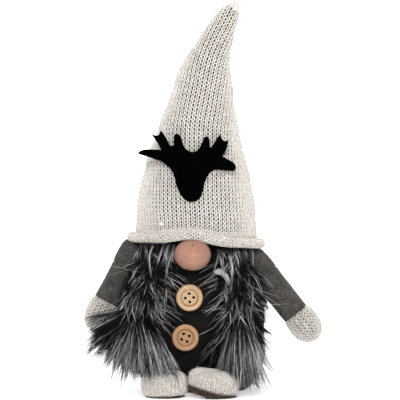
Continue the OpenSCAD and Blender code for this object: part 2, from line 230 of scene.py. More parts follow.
def ring_faces(index):
    """Four-cornered faces between neighbouring rings; index numbers their points, one ring to a row."""
    a, b = index[..., :-1, :], index[..., 1:, :]
    return np.stack([a, np.roll(a, -1, axis=-1), np.roll(b, -1, axis=-1), b], axis=-1).reshape(-1, 4)


def sweep(paths, radii, guide, sides, tint=None):
    """Points, faces, tints and thread coordinates of round strands along paths.

    paths is (strands, points, 3), radii (strands, points), guide a direction across each strand.
    """
    count, n, _ = paths.shape
    tangent = unit(np.gradient(paths, axis=1))
    across = unit(np.cross(tangent, guide))
    verts = paths[:, :, None, :] + radii[:, :, None, None] * circle(across, np.cross(across, tangent), sides)
    faces = ring_faces(np.arange(count * n * sides).reshape(count, n, sides))
    steps = np.linalg.norm(np.diff(paths, axis=1), axis=2)
    run = np.concatenate([np.zeros((count, 1)), np.cumsum(steps, axis=1)], axis=1)[..., None]
    ends = (run[:, :-1], run[:, 1:], np.arange(sides) / sides)
    u0, u1, v0 = (np.broadcast_to(v, (count, n - 1, sides)) for v in ends)
    v1 = v0 + 1 / sides
    uv = np.stack([np.stack(corner, -1) for corner in ((u0, v0), (u0, v1), (u1, v1), (u1, v0))], axis=3)
    tint = np.zeros((1, 1)) if tint is None else tint
    tints = np.broadcast_to(tint[:, :, None], (count, n, sides)).reshape(-1)
    return verts.reshape(-1, 3), faces, tints, uv.reshape(-1, 2)


def strands(name, *parts):
    """One object from several sweeps."""
    starts = np.cumsum([0] + [len(part[0]) for part in parts])
    faces = np.concatenate([part[1] + start for part, start in zip(parts, starts)])
    verts, tints, uv = (np.concatenate([part[i] for part in parts]) for i in (0, 2, 3))
    return mesh_object(name, verts, faces, tints, uv)


def surface(name, tube, s_values, around, lift=0.0, cap_low=True):
    """A closed skin over a tube, with its ends drawn in to a point."""
    s, angle = np.meshgrid(s_values, np.arange(around) * TURN / around, indexing="ij")
    points, _ = tube.at(s, angle, lift(s, angle) if callable(lift) else lift)
    rings = [points]
    if cap_low:
        mid = points[0].mean(axis=0)
        rings = [mid + (points[:1] - mid) * k for k in (0.02, 0.35, 0.7)] + rings
    mid = points[-1].mean(axis=0)
    rings += [mid + (points[-1:] - mid) * k for k in (0.7, 0.35, 0.02)]
    verts = np.concatenate(rings)
    return mesh_object(name, verts.reshape(-1, 3), ring_faces(np.arange(verts.size // 3).reshape(-1, around)))


def dress(obj, material, body=None, stands_for=()):
    """Gives a piece its material and body, and hides the CAD nodes it replaces.

    body is the name of the one it rides; when it is the bodies and points about a bend, the piece's transform is
    only baked in.
    """
    obj.data.materials.clear()
    obj.data.materials.append(material)
    if isinstance(body, str):
        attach(obj, body)
    elif body:
        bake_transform(obj)
    if stands_for:
        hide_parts(*stands_for)


# ---------------------------------------------------------------- materials

def grey(value):
    return value, value, value


class Look:
    """A material, with short ways to add nodes to it. A setting is a constant or another node's output."""

    def __init__(self, name, **settings):
        self.material = bpy.data.materials.new(name)
        self.material.use_nodes = True
        self.tree = self.material.node_tree
        self.shader = self.tree.nodes["Principled BSDF"]
        self.set({key.replace("_", " "): value for key, value in settings.items()})

    def set(self, settings, node=None):
        for key, value in settings.items():
            socket = (node or self.shader).inputs[key]
            if isinstance(value, bpy.types.NodeSocket):
                self.tree.links.new(value, socket)
            else:
                socket.default_value = (*value, 1) if socket.type == "RGBA" else value

    def add(self, kind, settings, output, **attributes):
        node = self.tree.nodes.new(f"ShaderNode{kind}")
        for name, value in attributes.items():
            setattr(node, name, value)
        self.set(settings, node)
        return node.outputs[output]

    def coords(self, **mapping):
        """Object coordinates in metres, moved, turned and scaled."""
        spot = self.add("TexCoord", {}, "Object")
        return self.add("Mapping", {"Vector": spot, **mapping}, "Vector")

    def noise(self, vector, scale, detail, rough):
        settings = {"Vector": vector, "Scale": scale, "Detail": detail, "Roughness": rough}
        return self.add("TexNoise", settings, "Fac")

    def ramp(self, value, *stops):
        colour = self.add("ValToRGB", {"Fac": value}, "Color")
        elements = colour.node.color_ramp.elements
        while len(elements) < len(stops):
            elements.new(0.5)
        for element, (at, stop) in zip(elements, stops):
            element.position = at
            element.color = (*stop, 1)
        return colour

    def mix(self, amount, a, b, blend="MULTIPLY"):
        """Two colours mixed or multiplied, by the Mix node's factor and its two colour sockets."""
        return self.add("Mix", {0: amount, 6: a, 7: b}, 2, data_type="RGBA", blend_type=blend)

    def maths(self, operation, *values):
        return self.add("Math", dict(enumerate(values)), "Value", operation=operation)

    def bump(self, height, strength, distance):
        settings = {"Height": height, "Strength": strength, "Distance": distance}
        self.set({"Normal": self.add("Bump", settings, "Normal")})


def felt_material(name, dark, mid, light, sheen=0.25, fleck=900, specular=0.12, mottle=1.0):
    """Pressed wool: mixed dark and light fibres, a few light flecks, and a matted bump."""
    look = Look(name, Roughness=0.95, Specular_IOR_Level=specular, Sheen_Weight=sheen, Sheen_Roughness=0.5)
    vec = look.coords()
    fibres = look.noise(look.coords(Scale=(1, 1, 2.6)), fleck, 4, 0.75)
    patches = look.noise(vec, 130, 4, 0.65)
    fine = look.ramp(fibres, (0.34, dark), (0.52, mid), (0.68, light))
    low, high = grey(1 - 0.45 * mottle), grey(1 + 0.3 * mottle)
    broad = look.ramp(patches, (0.32, low), (0.5, grey(0.96)), (0.68, high))
    look.set({"Base Color": look.mix(1.0, fine, broad)})
    height = look.maths("ADD", look.noise(vec, 700, 4, 0.7), look.maths("MULTIPLY", patches, 1.5))
    look.bump(height, 0.55, 0.0006)
    return look.material


def yarn_material(name, low, high, shade=0.55, sheen=0.3, ply=3.0, glint=0.0):
    """Twisted yarn: plies across the thread, uneven dye along it, and painted shade in its grooves."""
    look = Look(name, Roughness=0.8, Specular_IOR_Level=0.25, Sheen_Weight=sheen, Sheen_Roughness=0.45)
    uv = look.add("UVMap", {}, "UV", uv_map="thread")
    thread = look.add("SeparateXYZ", {"Vector": uv}, "X").node.outputs
    twist_length = 1.9
    phase = look.maths("ADD", look.maths("MULTIPLY", thread["X"], TURN / twist_length),
                       look.maths("MULTIPLY", thread["Y"], TURN * ply))
    twist = look.maths("MULTIPLY_ADD", look.maths("SINE", phase), 0.5, 0.5)
    vec = look.coords()
    dye = look.noise(vec, 320, 3, 0.6)
    fuzz = look.noise(vec, 2600, 3, 0.7)
    base = look.ramp(dye, (0.3, low), (0.62, high))
    colour = look.mix(1.0, base, look.ramp(twist, (0.0, grey(shade)), (0.45, grey(1))))
    if glint:
        # A fine pearly filament is spun in; its glints are painted into the yarn's colour as near-white points.
        start = 0.64 - 0.06 * glint
        glint_mask = look.ramp(look.noise(vec, 1250, 1, 0.4), (start, grey(0)), (start + 0.06, grey(1)))
        colour = look.mix(glint_mask, colour, (0.97, 0.965, 0.955), "MIX")
    look.set({"Base Color": colour})
    look.bump(look.maths("ADD", twist, look.maths("MULTIPLY", fuzz, 0.6)), 0.5, 0.0003)
    return look.material


def strand_material(name, *stops, rough=0.8, specular=0.1):
    """Loose fibres coloured by their tint, from 0 at the darkest to 1 at the lightest."""
    look = Look(name, Roughness=rough, Specular_IOR_Level=specular)
    tint = look.add("Attribute", {}, "Fac", attribute_name="tint")
    grain = look.noise(look.coords(), 500, 2, 0.5)
    uneven = look.ramp(grain, (0.3, grey(0.8)), (0.7, grey(1.1)))
    look.set({"Base Color": look.mix(1.0, look.ramp(tint, *stops), uneven)})
    return look.material


def wood_material(name, pale, ring, dark, centre, tilt):
    """Turned wood with growth lines across the button, fine pores, painted shade round the dish and a soft oiled
    shine.
    """
    look = Look(name, Coat_Weight=0.15, Coat_Roughness=0.3)
    x, y, z = (-c * MM for c in centre)
    vec = look.coords(Location=(x, y, z), Rotation=(0, tilt, 0))
    growth = {"Vector": vec, "Scale": 150, "Distortion": 3.5, "Detail": 3, "Detail Scale": 0.7}
    lines = look.add("TexWave", growth, "Fac", wave_type="BANDS", bands_direction="Z")
    stretched = look.add("Mapping", {"Vector": vec, "Scale": (0.12, 1, 1)}, "Vector")
    pores = look.noise(stretched, 2600, 3, 0.7)
    # Painted shade: the middle of the dish a little, and the groove at the dish's edge and the outer rim more,
    # are darkened by distance from the button's middle.
    spot = look.coords(Location=(x, 0, z), Scale=(1, 0, 1))
    reach = look.add("VectorMath", {0: spot}, "Value", operation="LENGTH")
    share = look.maths("MULTIPLY", reach, 1 / (10.5 * MM))
    dish_shade, edge_shade, unshaded = (0.93, 0.91, 0.88), (0.62, 0.54, 0.47), grey(1)
    painted_shade_ring = look.ramp(share, (0.50, dish_shade), (0.60, edge_shade), (0.66, unshaded), (0.90, unshaded), (0.97, edge_shade))
    base = look.mix(1.0, look.ramp(lines, (0.05, ring), (0.7, pale)), painted_shade_ring)
    fleck = look.ramp(pores, (0.36, dark), (0.5, grey(1)))
    look.set({"Base Color": look.mix(0.55, base, look.mix(1.0, base, fleck), "MIX")})
    look.set({"Roughness": look.ramp(pores, (0.3, grey(0.55)), (0.7, grey(0.36)))})
    look.bump(look.maths("ADD", pores, lines), 0.2, 0.0002)
    return look.material


def pearl_material(name, colour):
    """Small shiny plastic discs with a pearly, slightly uneven colour."""
    look = Look(name, Metallic=0.35, Roughness=0.18, Coat_Weight=0.6)
    pale = tuple(min(1, c * 1.12) for c in colour)
    look.set({"Base Color": look.ramp(look.noise(look.coords(), 420, 2, 0.5), (0.35, colour), (0.65, pale))})
    return look.material


CREAM = (0.86, 0.81, 0.75)
KNIT = yarn_material("cream_yarn", (0.66, 0.60, 0.53), CREAM, glint=1.0)
MITTEN_KNIT = yarn_material("mitten_yarn", (0.60, 0.54, 0.47), CREAM, glint=0.6)
CORD = yarn_material("tie_thread", grey(0.008), (0.022, 0.022, 0.023), shade=0.4, sheen=0.15, ply=2.0)
THREAD = yarn_material(
    "seam_thread", (0.02, 0.019, 0.018), (0.05, 0.048, 0.045), shade=0.4, sheen=0.15, ply=2.0)
LINER = felt_material(
    "hat_liner_cloth", (0.07, 0.06, 0.053), (0.115, 0.098, 0.085), (0.17, 0.148, 0.13), sheen=0.0)
PADDING = felt_material(
    "mitten_liner_cloth", (0.17, 0.155, 0.135), (0.25, 0.225, 0.20), (0.33, 0.30, 0.27), sheen=0.0)
FOOT_PADDING = felt_material(
    "foot_liner_cloth", (0.36, 0.325, 0.29), (0.46, 0.42, 0.38), (0.56, 0.52, 0.47), sheen=0.0)
# The body's felt is the sleeves' felt painted far darker: painted shade for the shadow that the hat, the nose
# and the fur cast on the body.
SHADED_BODY_FELT = felt_material(
    "body_felt_shaded_cloth", (0.0028, 0.0026, 0.0024), (0.0078, 0.0072, 0.0066), (0.030, 0.0275, 0.025),
    sheen=0.02, specular=0.04)
SLEEVE = felt_material(
    "sleeve_felt_cloth", (0.022, 0.0205, 0.019), (0.070, 0.065, 0.060), (0.19, 0.178, 0.167), sheen=0.12)
MOOSE = felt_material("black_felt", grey(0.0003), grey(0.0006), grey(0.0018), sheen=0.0, specular=0.012)
NOSE = felt_material(
    "nose_fleece_cloth", (0.36, 0.18, 0.125), (0.43, 0.235, 0.172), (0.51, 0.30, 0.225),
    sheen=0.08, fleck=1500, mottle=0.3)
SOLE = felt_material(
    "sole_backing", (0.010, 0.006, 0.004), (0.022, 0.013, 0.010), (0.05, 0.034, 0.027), sheen=0.1)
# The body's loose fibres are painted darker than the sleeves' fibres, with the same painted shade as the body
# felt.
SHADED_BODY_FUZZ = strand_material(
    "body_felt_shaded_fibres", (0.0, (0.006, 0.0055, 0.005)), (0.6, (0.022, 0.020, 0.018)),
    (1.0, (0.11, 0.10, 0.095)), specular=0.08)
SLEEVE_FUZZ = strand_material(
    "sleeve_felt_fibres", (0.0, (0.03, 0.028, 0.027)), (0.6, (0.11, 0.103, 0.096)),
    (1.0, (0.32, 0.305, 0.285)), rough=0.7, specular=0.15)
NOSE_FUZZ = strand_material("nose_fibres", (0.0, (0.38, 0.20, 0.14)), (1.0, (0.56, 0.36, 0.28)))
YARN_FUZZ = strand_material("yarn_fibres", (0.0, (0.58, 0.52, 0.46)), (1.0, (0.90, 0.86, 0.81)))
FUR = strand_material(
    "lock_fur", (0.0, (0.0014, 0.0014, 0.0016)), (0.35, (0.008, 0.008, 0.0088)), (0.65, (0.10, 0.10, 0.105)),
    (0.85, (0.36, 0.36, 0.365)), (1.0, grey(0.88)), rough=0.45, specular=0.14)
PLUSH = strand_material(
    "sole_fibres", (0.0, (0.022, 0.011, 0.007)), (0.4, (0.085, 0.050, 0.034)), (1.0, (0.42, 0.32, 0.25)),
    rough=0.7)
PEARL = pearl_material("pearly_disc", (0.86, 0.85, 0.84))

# ---------------------------------------------------------------- knitting

STITCH_W = 3.3
STITCH_H = 3.05
# Shares of a stitch's width: how far its loop swells, and how close its two legs are drawn.
LOOP_BULGE = 0.15
LEG_PULL = 0.05
# How far a loop reaches up and down, as a share of a row's height, and the points along it.
LOOP_REACH = 0.84
LOOP_POINTS = 12


def wander(s):
    """How far the columns of the hat's hand-stretched knitting lean aside at a height, in mm."""
    return 0.9 * np.sin(s / 23.0 + 0.6) + 0.35 * np.sin(s / 8.5)


def uneven(local, t, knots, spread):
    """A slow random change along a yarn."""
    return np.interp(t, np.linspace(0, t[-1], knots), local.normal(0, spread, knots))


def knit_rows(form, s_list, wide, tall, yarn_r, depth, fixed=None, seed=1):
    """Sweeps for rows of stockinette over a form, each row one yarn from seam to seam at the back.

    With fixed, every row has that many columns, which narrow towards the ends as gathered knitting does.
    Without it the columns keep their width, and only those near the back are stretched to close the row.
    """
    local = np.random.default_rng(seed)
    parts = []
    for s0 in s_list:
        girth = TURN * form.radius(s0)
        n = int(fixed / 2 if fixed else girth / wide / 2)
        if n < 2:
            continue
        t = np.arange(2 * n * LOOP_POINTS + 1) / LOOP_POINTS * TURN
        a = -n + t / TURN + LOOP_BULGE * np.sin(2 * t) - LEG_PULL * np.sin(t)
        s = s0 + tall * (LOOP_REACH * np.cos(t) + 0.6 * uneven(local, t, 4 * n + 1, 0.10))
        if fixed:
            angle = a * TURN / fixed
        else:
            behind = np.clip(np.abs(a) / n / 0.45 - 1.22, 0, 1)
            close = (math.pi - n * wide / form.radius(s0)) * behind ** 2 * (3 - 2 * behind)
            aside = a * wide + wander(s) * (1 - behind)
            angle = aside / np.maximum(form.radius(s), 1.0) + np.sign(a) * close
        lift = depth * (0.4 - np.cos(2 * t)) + uneven(local, t, 4 * n + 1, 0.10)
        point, normal = form.at(s, angle, lift)
        thick = yarn_r * (1 + uneven(local, t, 3 * n + 1, 0.07))
        if fixed:
            thick = thick * np.clip(girth / fixed / wide, 0.55, 1.0)
        parts.append(sweep(point[None], thick[None], normal[None], 6))
    return parts


def seam_stitches(form, heights, half):
    """One yarn laced to and fro down the back, drawing the two edges of the knitting together."""
    steps = 8
    t = np.linspace(0, len(heights) - 1, (len(heights) - 1) * steps + 1)
    s = np.interp(t, np.arange(len(heights)), heights)
    angle = math.pi + half * np.sin(t * math.pi) / np.maximum(form.radius(s), 2.0)
    point, normal = form.at(s, angle, 0.35 + 0.3 * np.cos(t * TURN))
    return sweep(point[None], np.full((1, len(t)), 0.55), normal[None], 6)


# ---------------------------------------------------------------- hat

# How the brim is tilted, and arched over the nose: its rise, where across, how wide, up to what height.
BRIM_TILT = 3.4
BRIM_ARCH = 5.5
ARCH_X = -4.0
ARCH_W = 16.0
ARCH_TOP = 26.0
# The rolled edge leaves the hat's wall at WALL_LOW, and its rows are counted down from WALL_TOP.
ROLL_R = 3.3
WALL_TOP, WALL_LOW = 10.0, 4.6
ROLL_ROW_H = 2.6


class Hat(Tube):
    def at(self, s, angle, lift=0.0):
        point, normal = super().at(s, angle, lift)
        fade = np.clip(1 - np.broadcast_to(s, point.shape[:-1]) / ARCH_TOP, 0, None) ** 1.3
        x, y = point[..., 0], point[..., 1]
        arch = np.where(y < 0, BRIM_ARCH * np.exp(-((x - ARCH_X) / ARCH_W) ** 2), 0)
        point[..., 2] += (arch - BRIM_TILT * x / 49) * np.minimum(fade, 1.35)
        return point, normal


def hat_form():
    rows = smooth_rows(HAT_ROWS, 0.5, 3.0)
    low = np.arange(-6, 0, 0.5)
    s = np.concatenate([low, rows[:, 0]])
    share = np.concatenate([np.full(len(low), rows[0, 1]), rows[:, 1]])
    lean = np.maximum(0, s - HAT_STRAIGHT) / HAT_LEAN_R
    sin, cos, zero = np.sin(lean), np.cos(lean), np.zeros(len(s))
    sway = HAT_SWAY * np.exp(-((s - SWAY_AT) / SWAY_OVER) ** 2)
    height = HAT_BASE + np.minimum(s, HAT_STRAIGHT) + HAT_LEAN_R * sin
    aside = HAT_LEAN_R * (1 - cos) + sway
    centre, axis, side, front = (np.column_stack(v) for v in (
        (aside, zero, height), (sin, zero, cos), (cos, zero, -sin), (zero, zero - 1, zero)))
    r = np.maximum(share, 0.02) * HAT_R
    return Hat(s, centre, axis, side, front, r, r * HAT_DEPTH, lump=0.016, seed=5)


HAT = hat_form()
# For pieces across the joint: the torso, the tip, and points on the middle line on either side of the bend.
HAT_BENDS = ("torso", "hat_top", metres(HAT.row(HAT_BEND - HAT_GIVE, range(3))),
             metres(HAT.row(HAT_BEND + HAT_GIVE, range(3))))
# Rows below this height stay with the torso.
STILL_BELOW = HAT_BEND - 20


def build_hat():
    rows = np.arange(9.5, HAT_L - 4.0, STITCH_H)
    bands = [(0, 14), (14, 29), (29, 44), (44, len(rows))]
    for i, (a, b) in enumerate(bands):
        parts = knit_rows(HAT, rows[a:b], STITCH_W, STITCH_H, yarn_r=0.46, depth=0.20, seed=30 + i)
        body = "torso" if rows[b - 1] < STILL_BELOW else HAT_BENDS
        dress(strands(f"hat_knit_{i + 1}", *parts), KNIT, body, ("hat_cone", "hat_tip"))
    seam = seam_stitches(HAT, np.arange(7.0, HAT_L - 5.0, 2.6), half=1.7)
    dress(strands("hat_back_seam", seam), KNIT, HAT_BENDS)
    liner_rows = np.append(np.arange(1.0, HAT_L - 6, 2.0), HAT_L - 3.5)
    liner = surface("hat_liner", HAT, liner_rows, 96, lift=-1.7, cap_low=False)
    dress(liner, LINER, HAT_BENDS, ("hat_cone_stuffing", "hat_tip_stuffing"))


def build_tip():
    """The last yarn winds inwards and closes the tip."""
    turns, run = 6, 5.6
    t = np.linspace(0, turns, turns * 16 + 1)
    point, normal = HAT.at(HAT_L - run + t / turns * run, t * TURN, 0.1)
    gather = sweep(point[None], np.full((1, len(t)), 0.60), normal[None], 6)
    dress(strands("hat_tip_gather", gather), KNIT, "hat_top")


def brim_point(path, angle, lift):
    """The rolled edge: the fabric comes down the wall, turns outwards and curls up on itself."""
    turned = (np.clip(path - (WALL_TOP - WALL_LOW), 0, None) / ROLL_R)[..., None]
    base, normal = HAT.at(np.clip(WALL_TOP - path, WALL_LOW, None), angle)
    out = unit(normal * np.array([1.0, 1.0, 0.0]))
    sin, cos = np.sin(turned), np.cos(turned)
    rolled = turned > 0
    face = np.where(rolled, cos * out + sin * UP, normal)
    spot = base + rolled * ROLL_R * ((1 - cos) * out - sin * UP)
    return spot + lift[..., None] * face, face


def build_brim():
    """Rows of the same knitting carried round the rolled edge, which shows its purl side."""
    local = np.random.default_rng(44)
    columns = int(round(TURN * HAT.radius(4.0) / STITCH_W))
    t = np.arange(columns * LOOP_POINTS + 1) / LOOP_POINTS * TURN
    angle = (t / TURN + LOOP_BULGE * np.sin(2 * t)) / columns * TURN + math.pi
    parts = []
    for path in np.arange(0.6, WALL_TOP - WALL_LOW + ROLL_R * 5.4, ROLL_ROW_H):
        shake = uneven(local, t, 3 * columns + 1, 0.16)
        along = np.clip(path - ROLL_ROW_H * LOOP_REACH * np.cos(t) + shake, -1.5, None)
        spot, face = brim_point(along, angle, 0.15 - 0.3 * np.cos(2 * t))
        spot[-1] = spot[0]
        thick = 0.52 * (1 + uneven(local, t, 3 * columns + 1, 0.08))
        parts.append(sweep(spot[None], thick[None], face[None], 6))
    dress(strands("hat_brim_roll", *parts), KNIT, "torso", ("hat_cone",))


# A cupped disc's outline: distance from its middle as a share of its radius, and height.
DISC = np.array([(0.05, 0.05), (0.7, 0.12), (1.0, 0.34), (0.96, 0.02), (0.5, -0.18), (0.05, -0.22)])
DISC_SIDES = 14


def build_sequins():
    """A few thin cupped discs and many tiny beads, knitted in here and there over the hat."""
    local = np.random.default_rng(77)
    count = 170
    s = local.uniform(8, HAT_L - 10, count)
    s = s[local.uniform(0, 1, count) < HAT.radius(s) / HAT_R]
    angle = local.uniform(-math.pi, math.pi, len(s))
    big = local.uniform(0, 1, len(s)) < 0.14
    size = np.where(big, local.uniform(1.2, 1.7, len(s)), local.uniform(0.35, 0.6, len(s)))[:, None]
    centre, normal = HAT.at(s, angle, 0.75)
    normal = unit(normal + local.normal(0, 0.22, normal.shape))
    middles = centre[:, None] + normal[:, None] * (DISC[:, 1] * np.minimum(size, 0.9))[..., None]
    across = unit(np.cross(normal, np.array([0.3, 0.2, 0.93])))
    around = circle(across, np.cross(normal, across), DISC_SIDES)
    verts = middles[:, :, None] + (size * DISC[:, 0])[..., None, None] * around[:, None]
    verts = verts.reshape(len(s), -1, 3)
    faces = ring_faces(np.arange(len(DISC) * DISC_SIDES).reshape(len(DISC), DISC_SIDES))[:, [0, 3, 2, 1]]
    for name, own, body in (("low", s < STILL_BELOW, "torso"), ("high", s >= STILL_BELOW, HAT_BENDS)):
        starts = np.arange(own.sum())[:, None, None] * verts.shape[1]
        piece = mesh_object(f"hat_sequins_{name}", verts[own].reshape(-1, 3), (faces + starts).reshape(-1, 4))
        dress(piece, PEARL, body)


build_hat()
build_tip()
build_brim()
build_sequins()


# ---------------------------------------------------------------- loose fibres on felt

FIBRE_GUIDE = np.array([0.13, 0.21, 0.97])
FIBRE_TAPER = np.array([1, 0.95, 0.8, 0.55, 0.15])


def fuzz_on(form, count, s_range, length, width, seed, droop=0.0, lie=0.6):
    """Short fibres that stand a little off a form's surface."""
    local = np.random.default_rng(seed)
    s = local.uniform(*s_range, count)
    base, normal = form.at(s, local.uniform(-math.pi, math.pi, count), -0.1)
    random = unit(local.normal(0, 1, (count, 3)))
    flat = unit(random - (random * normal).sum(1, keepdims=True) * normal)
    heading = unit(flat * lie + normal * (1 - lie) - droop * UP)
    size = length * local.uniform(0.5, 1.4, count)
    path = [base]
    steps = len(FIBRE_TAPER) - 1
    for k in range(steps):
        heading = unit(heading + local.normal(0, 0.28, (count, 3)) + (k > 1) * -0.25 * normal)
        path.append(path[-1] + heading * (size / steps)[:, None])
    radii = width * FIBRE_TAPER * local.uniform(0.7, 1.2, count)[:, None]
    tint = local.uniform(0.1, 1.0, count)[:, None] ** 1.5
    return sweep(np.stack(path, axis=1), radii, FIBRE_GUIDE, 3, tint)


# ---------------------------------------------------------------- body

BODY = upright_tube(
    smooth_rows(BODY_ROWS, 0.5, 2.5), BODY_W / 2 - FELT_HALF, BODY_D / 2 - FELT_HALF, lump=0.012, seed=8)
BODY.data[:, 0] += BASE_SHIFT * np.clip(1 - BODY.s / BASE_SHIFT_TOP, 0, 1)


def body_lift(s, angle):
    """A seam at each side, and a crease with slight puckers along the hem."""
    seam = -0.7 * np.exp(-((np.abs(angle % math.pi - math.pi / 2)) / 0.018) ** 2)
    hem = -0.8 * np.exp(-((s - 7) / 1.6) ** 2) + 0.35 * np.sin(angle * 34) * np.exp(-((s - 6) / 4.0) ** 2)
    return seam + hem


def build_body():
    rows = np.concatenate([np.arange(0.4, 12, 0.8), np.arange(12, 126, 1.6)])
    inside = ("base_panel", "base_board", "weight_bag", "weight_pellets", "body_stuffing")
    # The sack wears the felt darkened with painted shade.
    sack = surface("body_felt_sack", BODY, rows, 220, lift=body_lift)
    dress(sack, SHADED_BODY_FELT, "torso", ("body_sack", *inside))
    count = 8000
    for part, span, seed in (("low", (1, 61), 61), ("high", (61, 122), 62)):
        fibres = fuzz_on(BODY, count, span, length=1.9, width=0.055, seed=seed)
        dress(strands(f"body_felt_shaded_fibres_{part}", fibres), SHADED_BODY_FUZZ, "torso")


build_body()

# ---------------------------------------------------------------- arms

# Distance from the shoulder, radius. The cuff rows are counted from the end of the sleeve.
SHOULDER_ROWS = [(-12.6, 3.5), (-12.2, 7.4), (-10.5, 10.0), (-7, 11.3), (0, 11.5), (8, 11.3), (18, 10.9)]
CUFF_ROWS = [(-14, 10.5), (-7, 10.3), (-3, 10.5), (-0.4, 10.1), (0.8, 9.2)]
MITTEN_ROWS = [
    (-1.6, 9.9), (0.0, 10.9), (3, 11.6), (8, 11.8), (13, 11.3), (17, 9.9), (20.5, 7.5), (22.6, 4.6),
    (23.6, 1.6)]
SLEEVE_L = {"left": 41.0, "right": 49.0}
JOINTS = {joint["name"]: joint for joint in frame["record"]["behaviour"]["joints"]}


def sleeve_lift(s, angle):
    """The seam under the arm, and a crease near the shoulder."""
    seam = -0.55 * np.exp(-(((angle % TURN) - 1.5 * math.pi) / 0.06) ** 2)
    crease = -0.5 * np.exp(-((s - 7 - 3 * np.sin(angle)) / 1.5) ** 2) * (np.cos(angle - 1.0) > 0)
    return seam + crease


def build_arm(side):
    sign = -1 if side == "left" else 1
    body = f"{side}_arm"
    start = np.array(JOINTS[f"{side}_arm_raise"]["pos_m"]) / MM
    reach = 0.5 * np.add(*box_mm(f"{side}_mitten")) - start
    reach[1] = 0
    direction = unit(reach)
    line = (start, direction, np.array([-direction[2] * sign, 0, direction[0] * sign]))
    cuff = SLEEVE_L[side]
    sleeve_rows = np.array(SHOULDER_ROWS + [(cuff + d, r) for d, r in CUFF_ROWS])
    mitten_rows = np.array([(cuff + d, r) for d, r in MITTEN_ROWS])
    sleeve_form = line_tube(smooth_rows(sleeve_rows, 0.5, 1.2), *line, lump=0.03, seed=70 + sign)
    mitten_form = line_tube(smooth_rows(mitten_rows, 0.25, 0.9), *line, lump=0.02, seed=75 + sign)
    rows = np.arange(-12.5, cuff + 0.7, 0.8)
    sleeve = surface(f"{side}_felt_sleeve", sleeve_form, rows, 72, lift=sleeve_lift)
    dress(sleeve, SLEEVE, body, (f"{side}_sleeve", f"{side}_arm_stuffing"))
    count = 4500
    fibres = fuzz_on(sleeve_form, count, (-9, cuff), length=1.8, width=0.055, seed=80 + sign)
    dress(strands(f"{side}_sleeve_fibres", fibres), SLEEVE_FUZZ, body)
    rows = np.arange(cuff - 1.4, cuff + 23.4, 0.8)
    lining = surface(f"{side}_mitten_lining", mitten_form, rows, 48, lift=-1.3)
    dress(lining, PADDING, body)
    rows = np.append(np.arange(cuff - 0.2, cuff + 21.5, 2.9), cuff + 22.6)
    knit = knit_rows(mitten_form, rows, wide=3.6, tall=2.9, yarn_r=0.47, depth=0.10, fixed=20, seed=85 + sign)
    dress(strands(f"{side}_mitten_knit", *knit), MITTEN_KNIT, body, (f"{side}_mitten",))


for side in SIDES:
    build_arm(side)

# ---------------------------------------------------------------- feet

# Height above the foot's middle, and share of its width and length there.
FOOT_ROWS = np.array([
    (-9.0, 0.50), (-8.5, 0.74), (-7.4, 0.87), (-5, 0.955), (-2, 0.99), (1, 1), (4, 0.965), (6.4, 0.87),
    (8.0, 0.70), (8.9, 0.46), (9.3, 0.12)])
SOLE_ROWS = np.array([(-11.9, 0.84), (-11.2, 0.93), (-10.3, 0.96), (-9.2, 0.94), (-8.2, 0.8)])
# Each foot: heel, half width, turn and roll in degrees, height of its middle, how far its inner edge curls
# up, and the share of the foot that its sole covers.
FEET = {
    "left": dict(heel=(-23.0, -50.6), half_w=16.8, turn=0, roll=-2.0, middle=9.9, curl=0.0, sole=0.70),
    "right": dict(heel=(11.6, -51.1), half_w=18.6, turn=12, roll=10.0, middle=11.0, curl=6.0, sole=0.93),
}
FOOT_BACK, FOOT_FRONT = -12.0, 24.6
FOOT_HALF_L = 0.5 * (FOOT_FRONT - FOOT_BACK)
# Nothing of a foot goes lower than this.
FOOT_FLOOR = 0.3


def foot_form(rows, foot, share, step, spread, **more):
    """A squat form of level rows in the foot's own turned and rolled frame."""
    turn, roll = math.radians(foot["turn"]), math.radians(foot["roll"])
    forward = np.array([math.sin(turn), -math.cos(turn), 0.0])
    across = np.array([math.cos(turn), math.sin(turn), 0.0])
    centre = np.array([*foot["heel"], foot["middle"]]) + forward * 0.5 * (FOOT_BACK + FOOT_FRONT)
    axis = math.cos(roll) * UP + math.sin(roll) * across
    rows = smooth_rows(np.column_stack([rows, rows[:, 1]]), step, spread)
    form = upright_tube(rows, foot["half_w"] * share, FOOT_HALF_L * share, **more)
    form.data[:, 0:3] = centre + form.s[:, None] * axis
    form.data[:, 3:12] = np.concatenate([axis, math.cos(roll) * across - math.sin(roll) * UP, forward])
    form.middle = centre
    return form


def settle(obj, foot, form):
    """Curls the foot's inner edge up off the floor, and flattens whatever would sink below it."""
    co = np.empty(len(obj.data.vertices) * 3)
    obj.data.vertices.foreach_get("co", co)
    points = co.reshape(-1, 3) / MM
    inward = np.clip(-((points - form.middle) @ form.data[0, 6:9]) / foot["half_w"] - 0.1, 0, 1)
    below = np.clip((form.middle[2] - points[:, 2]) / 9.0, 0, 1.3)
    points[:, 2] = np.maximum(points[:, 2] + foot["curl"] * inward ** 1.3 * below, FOOT_FLOOR)
    obj.data.vertices.foreach_set("co", (points * MM).ravel())
    return obj


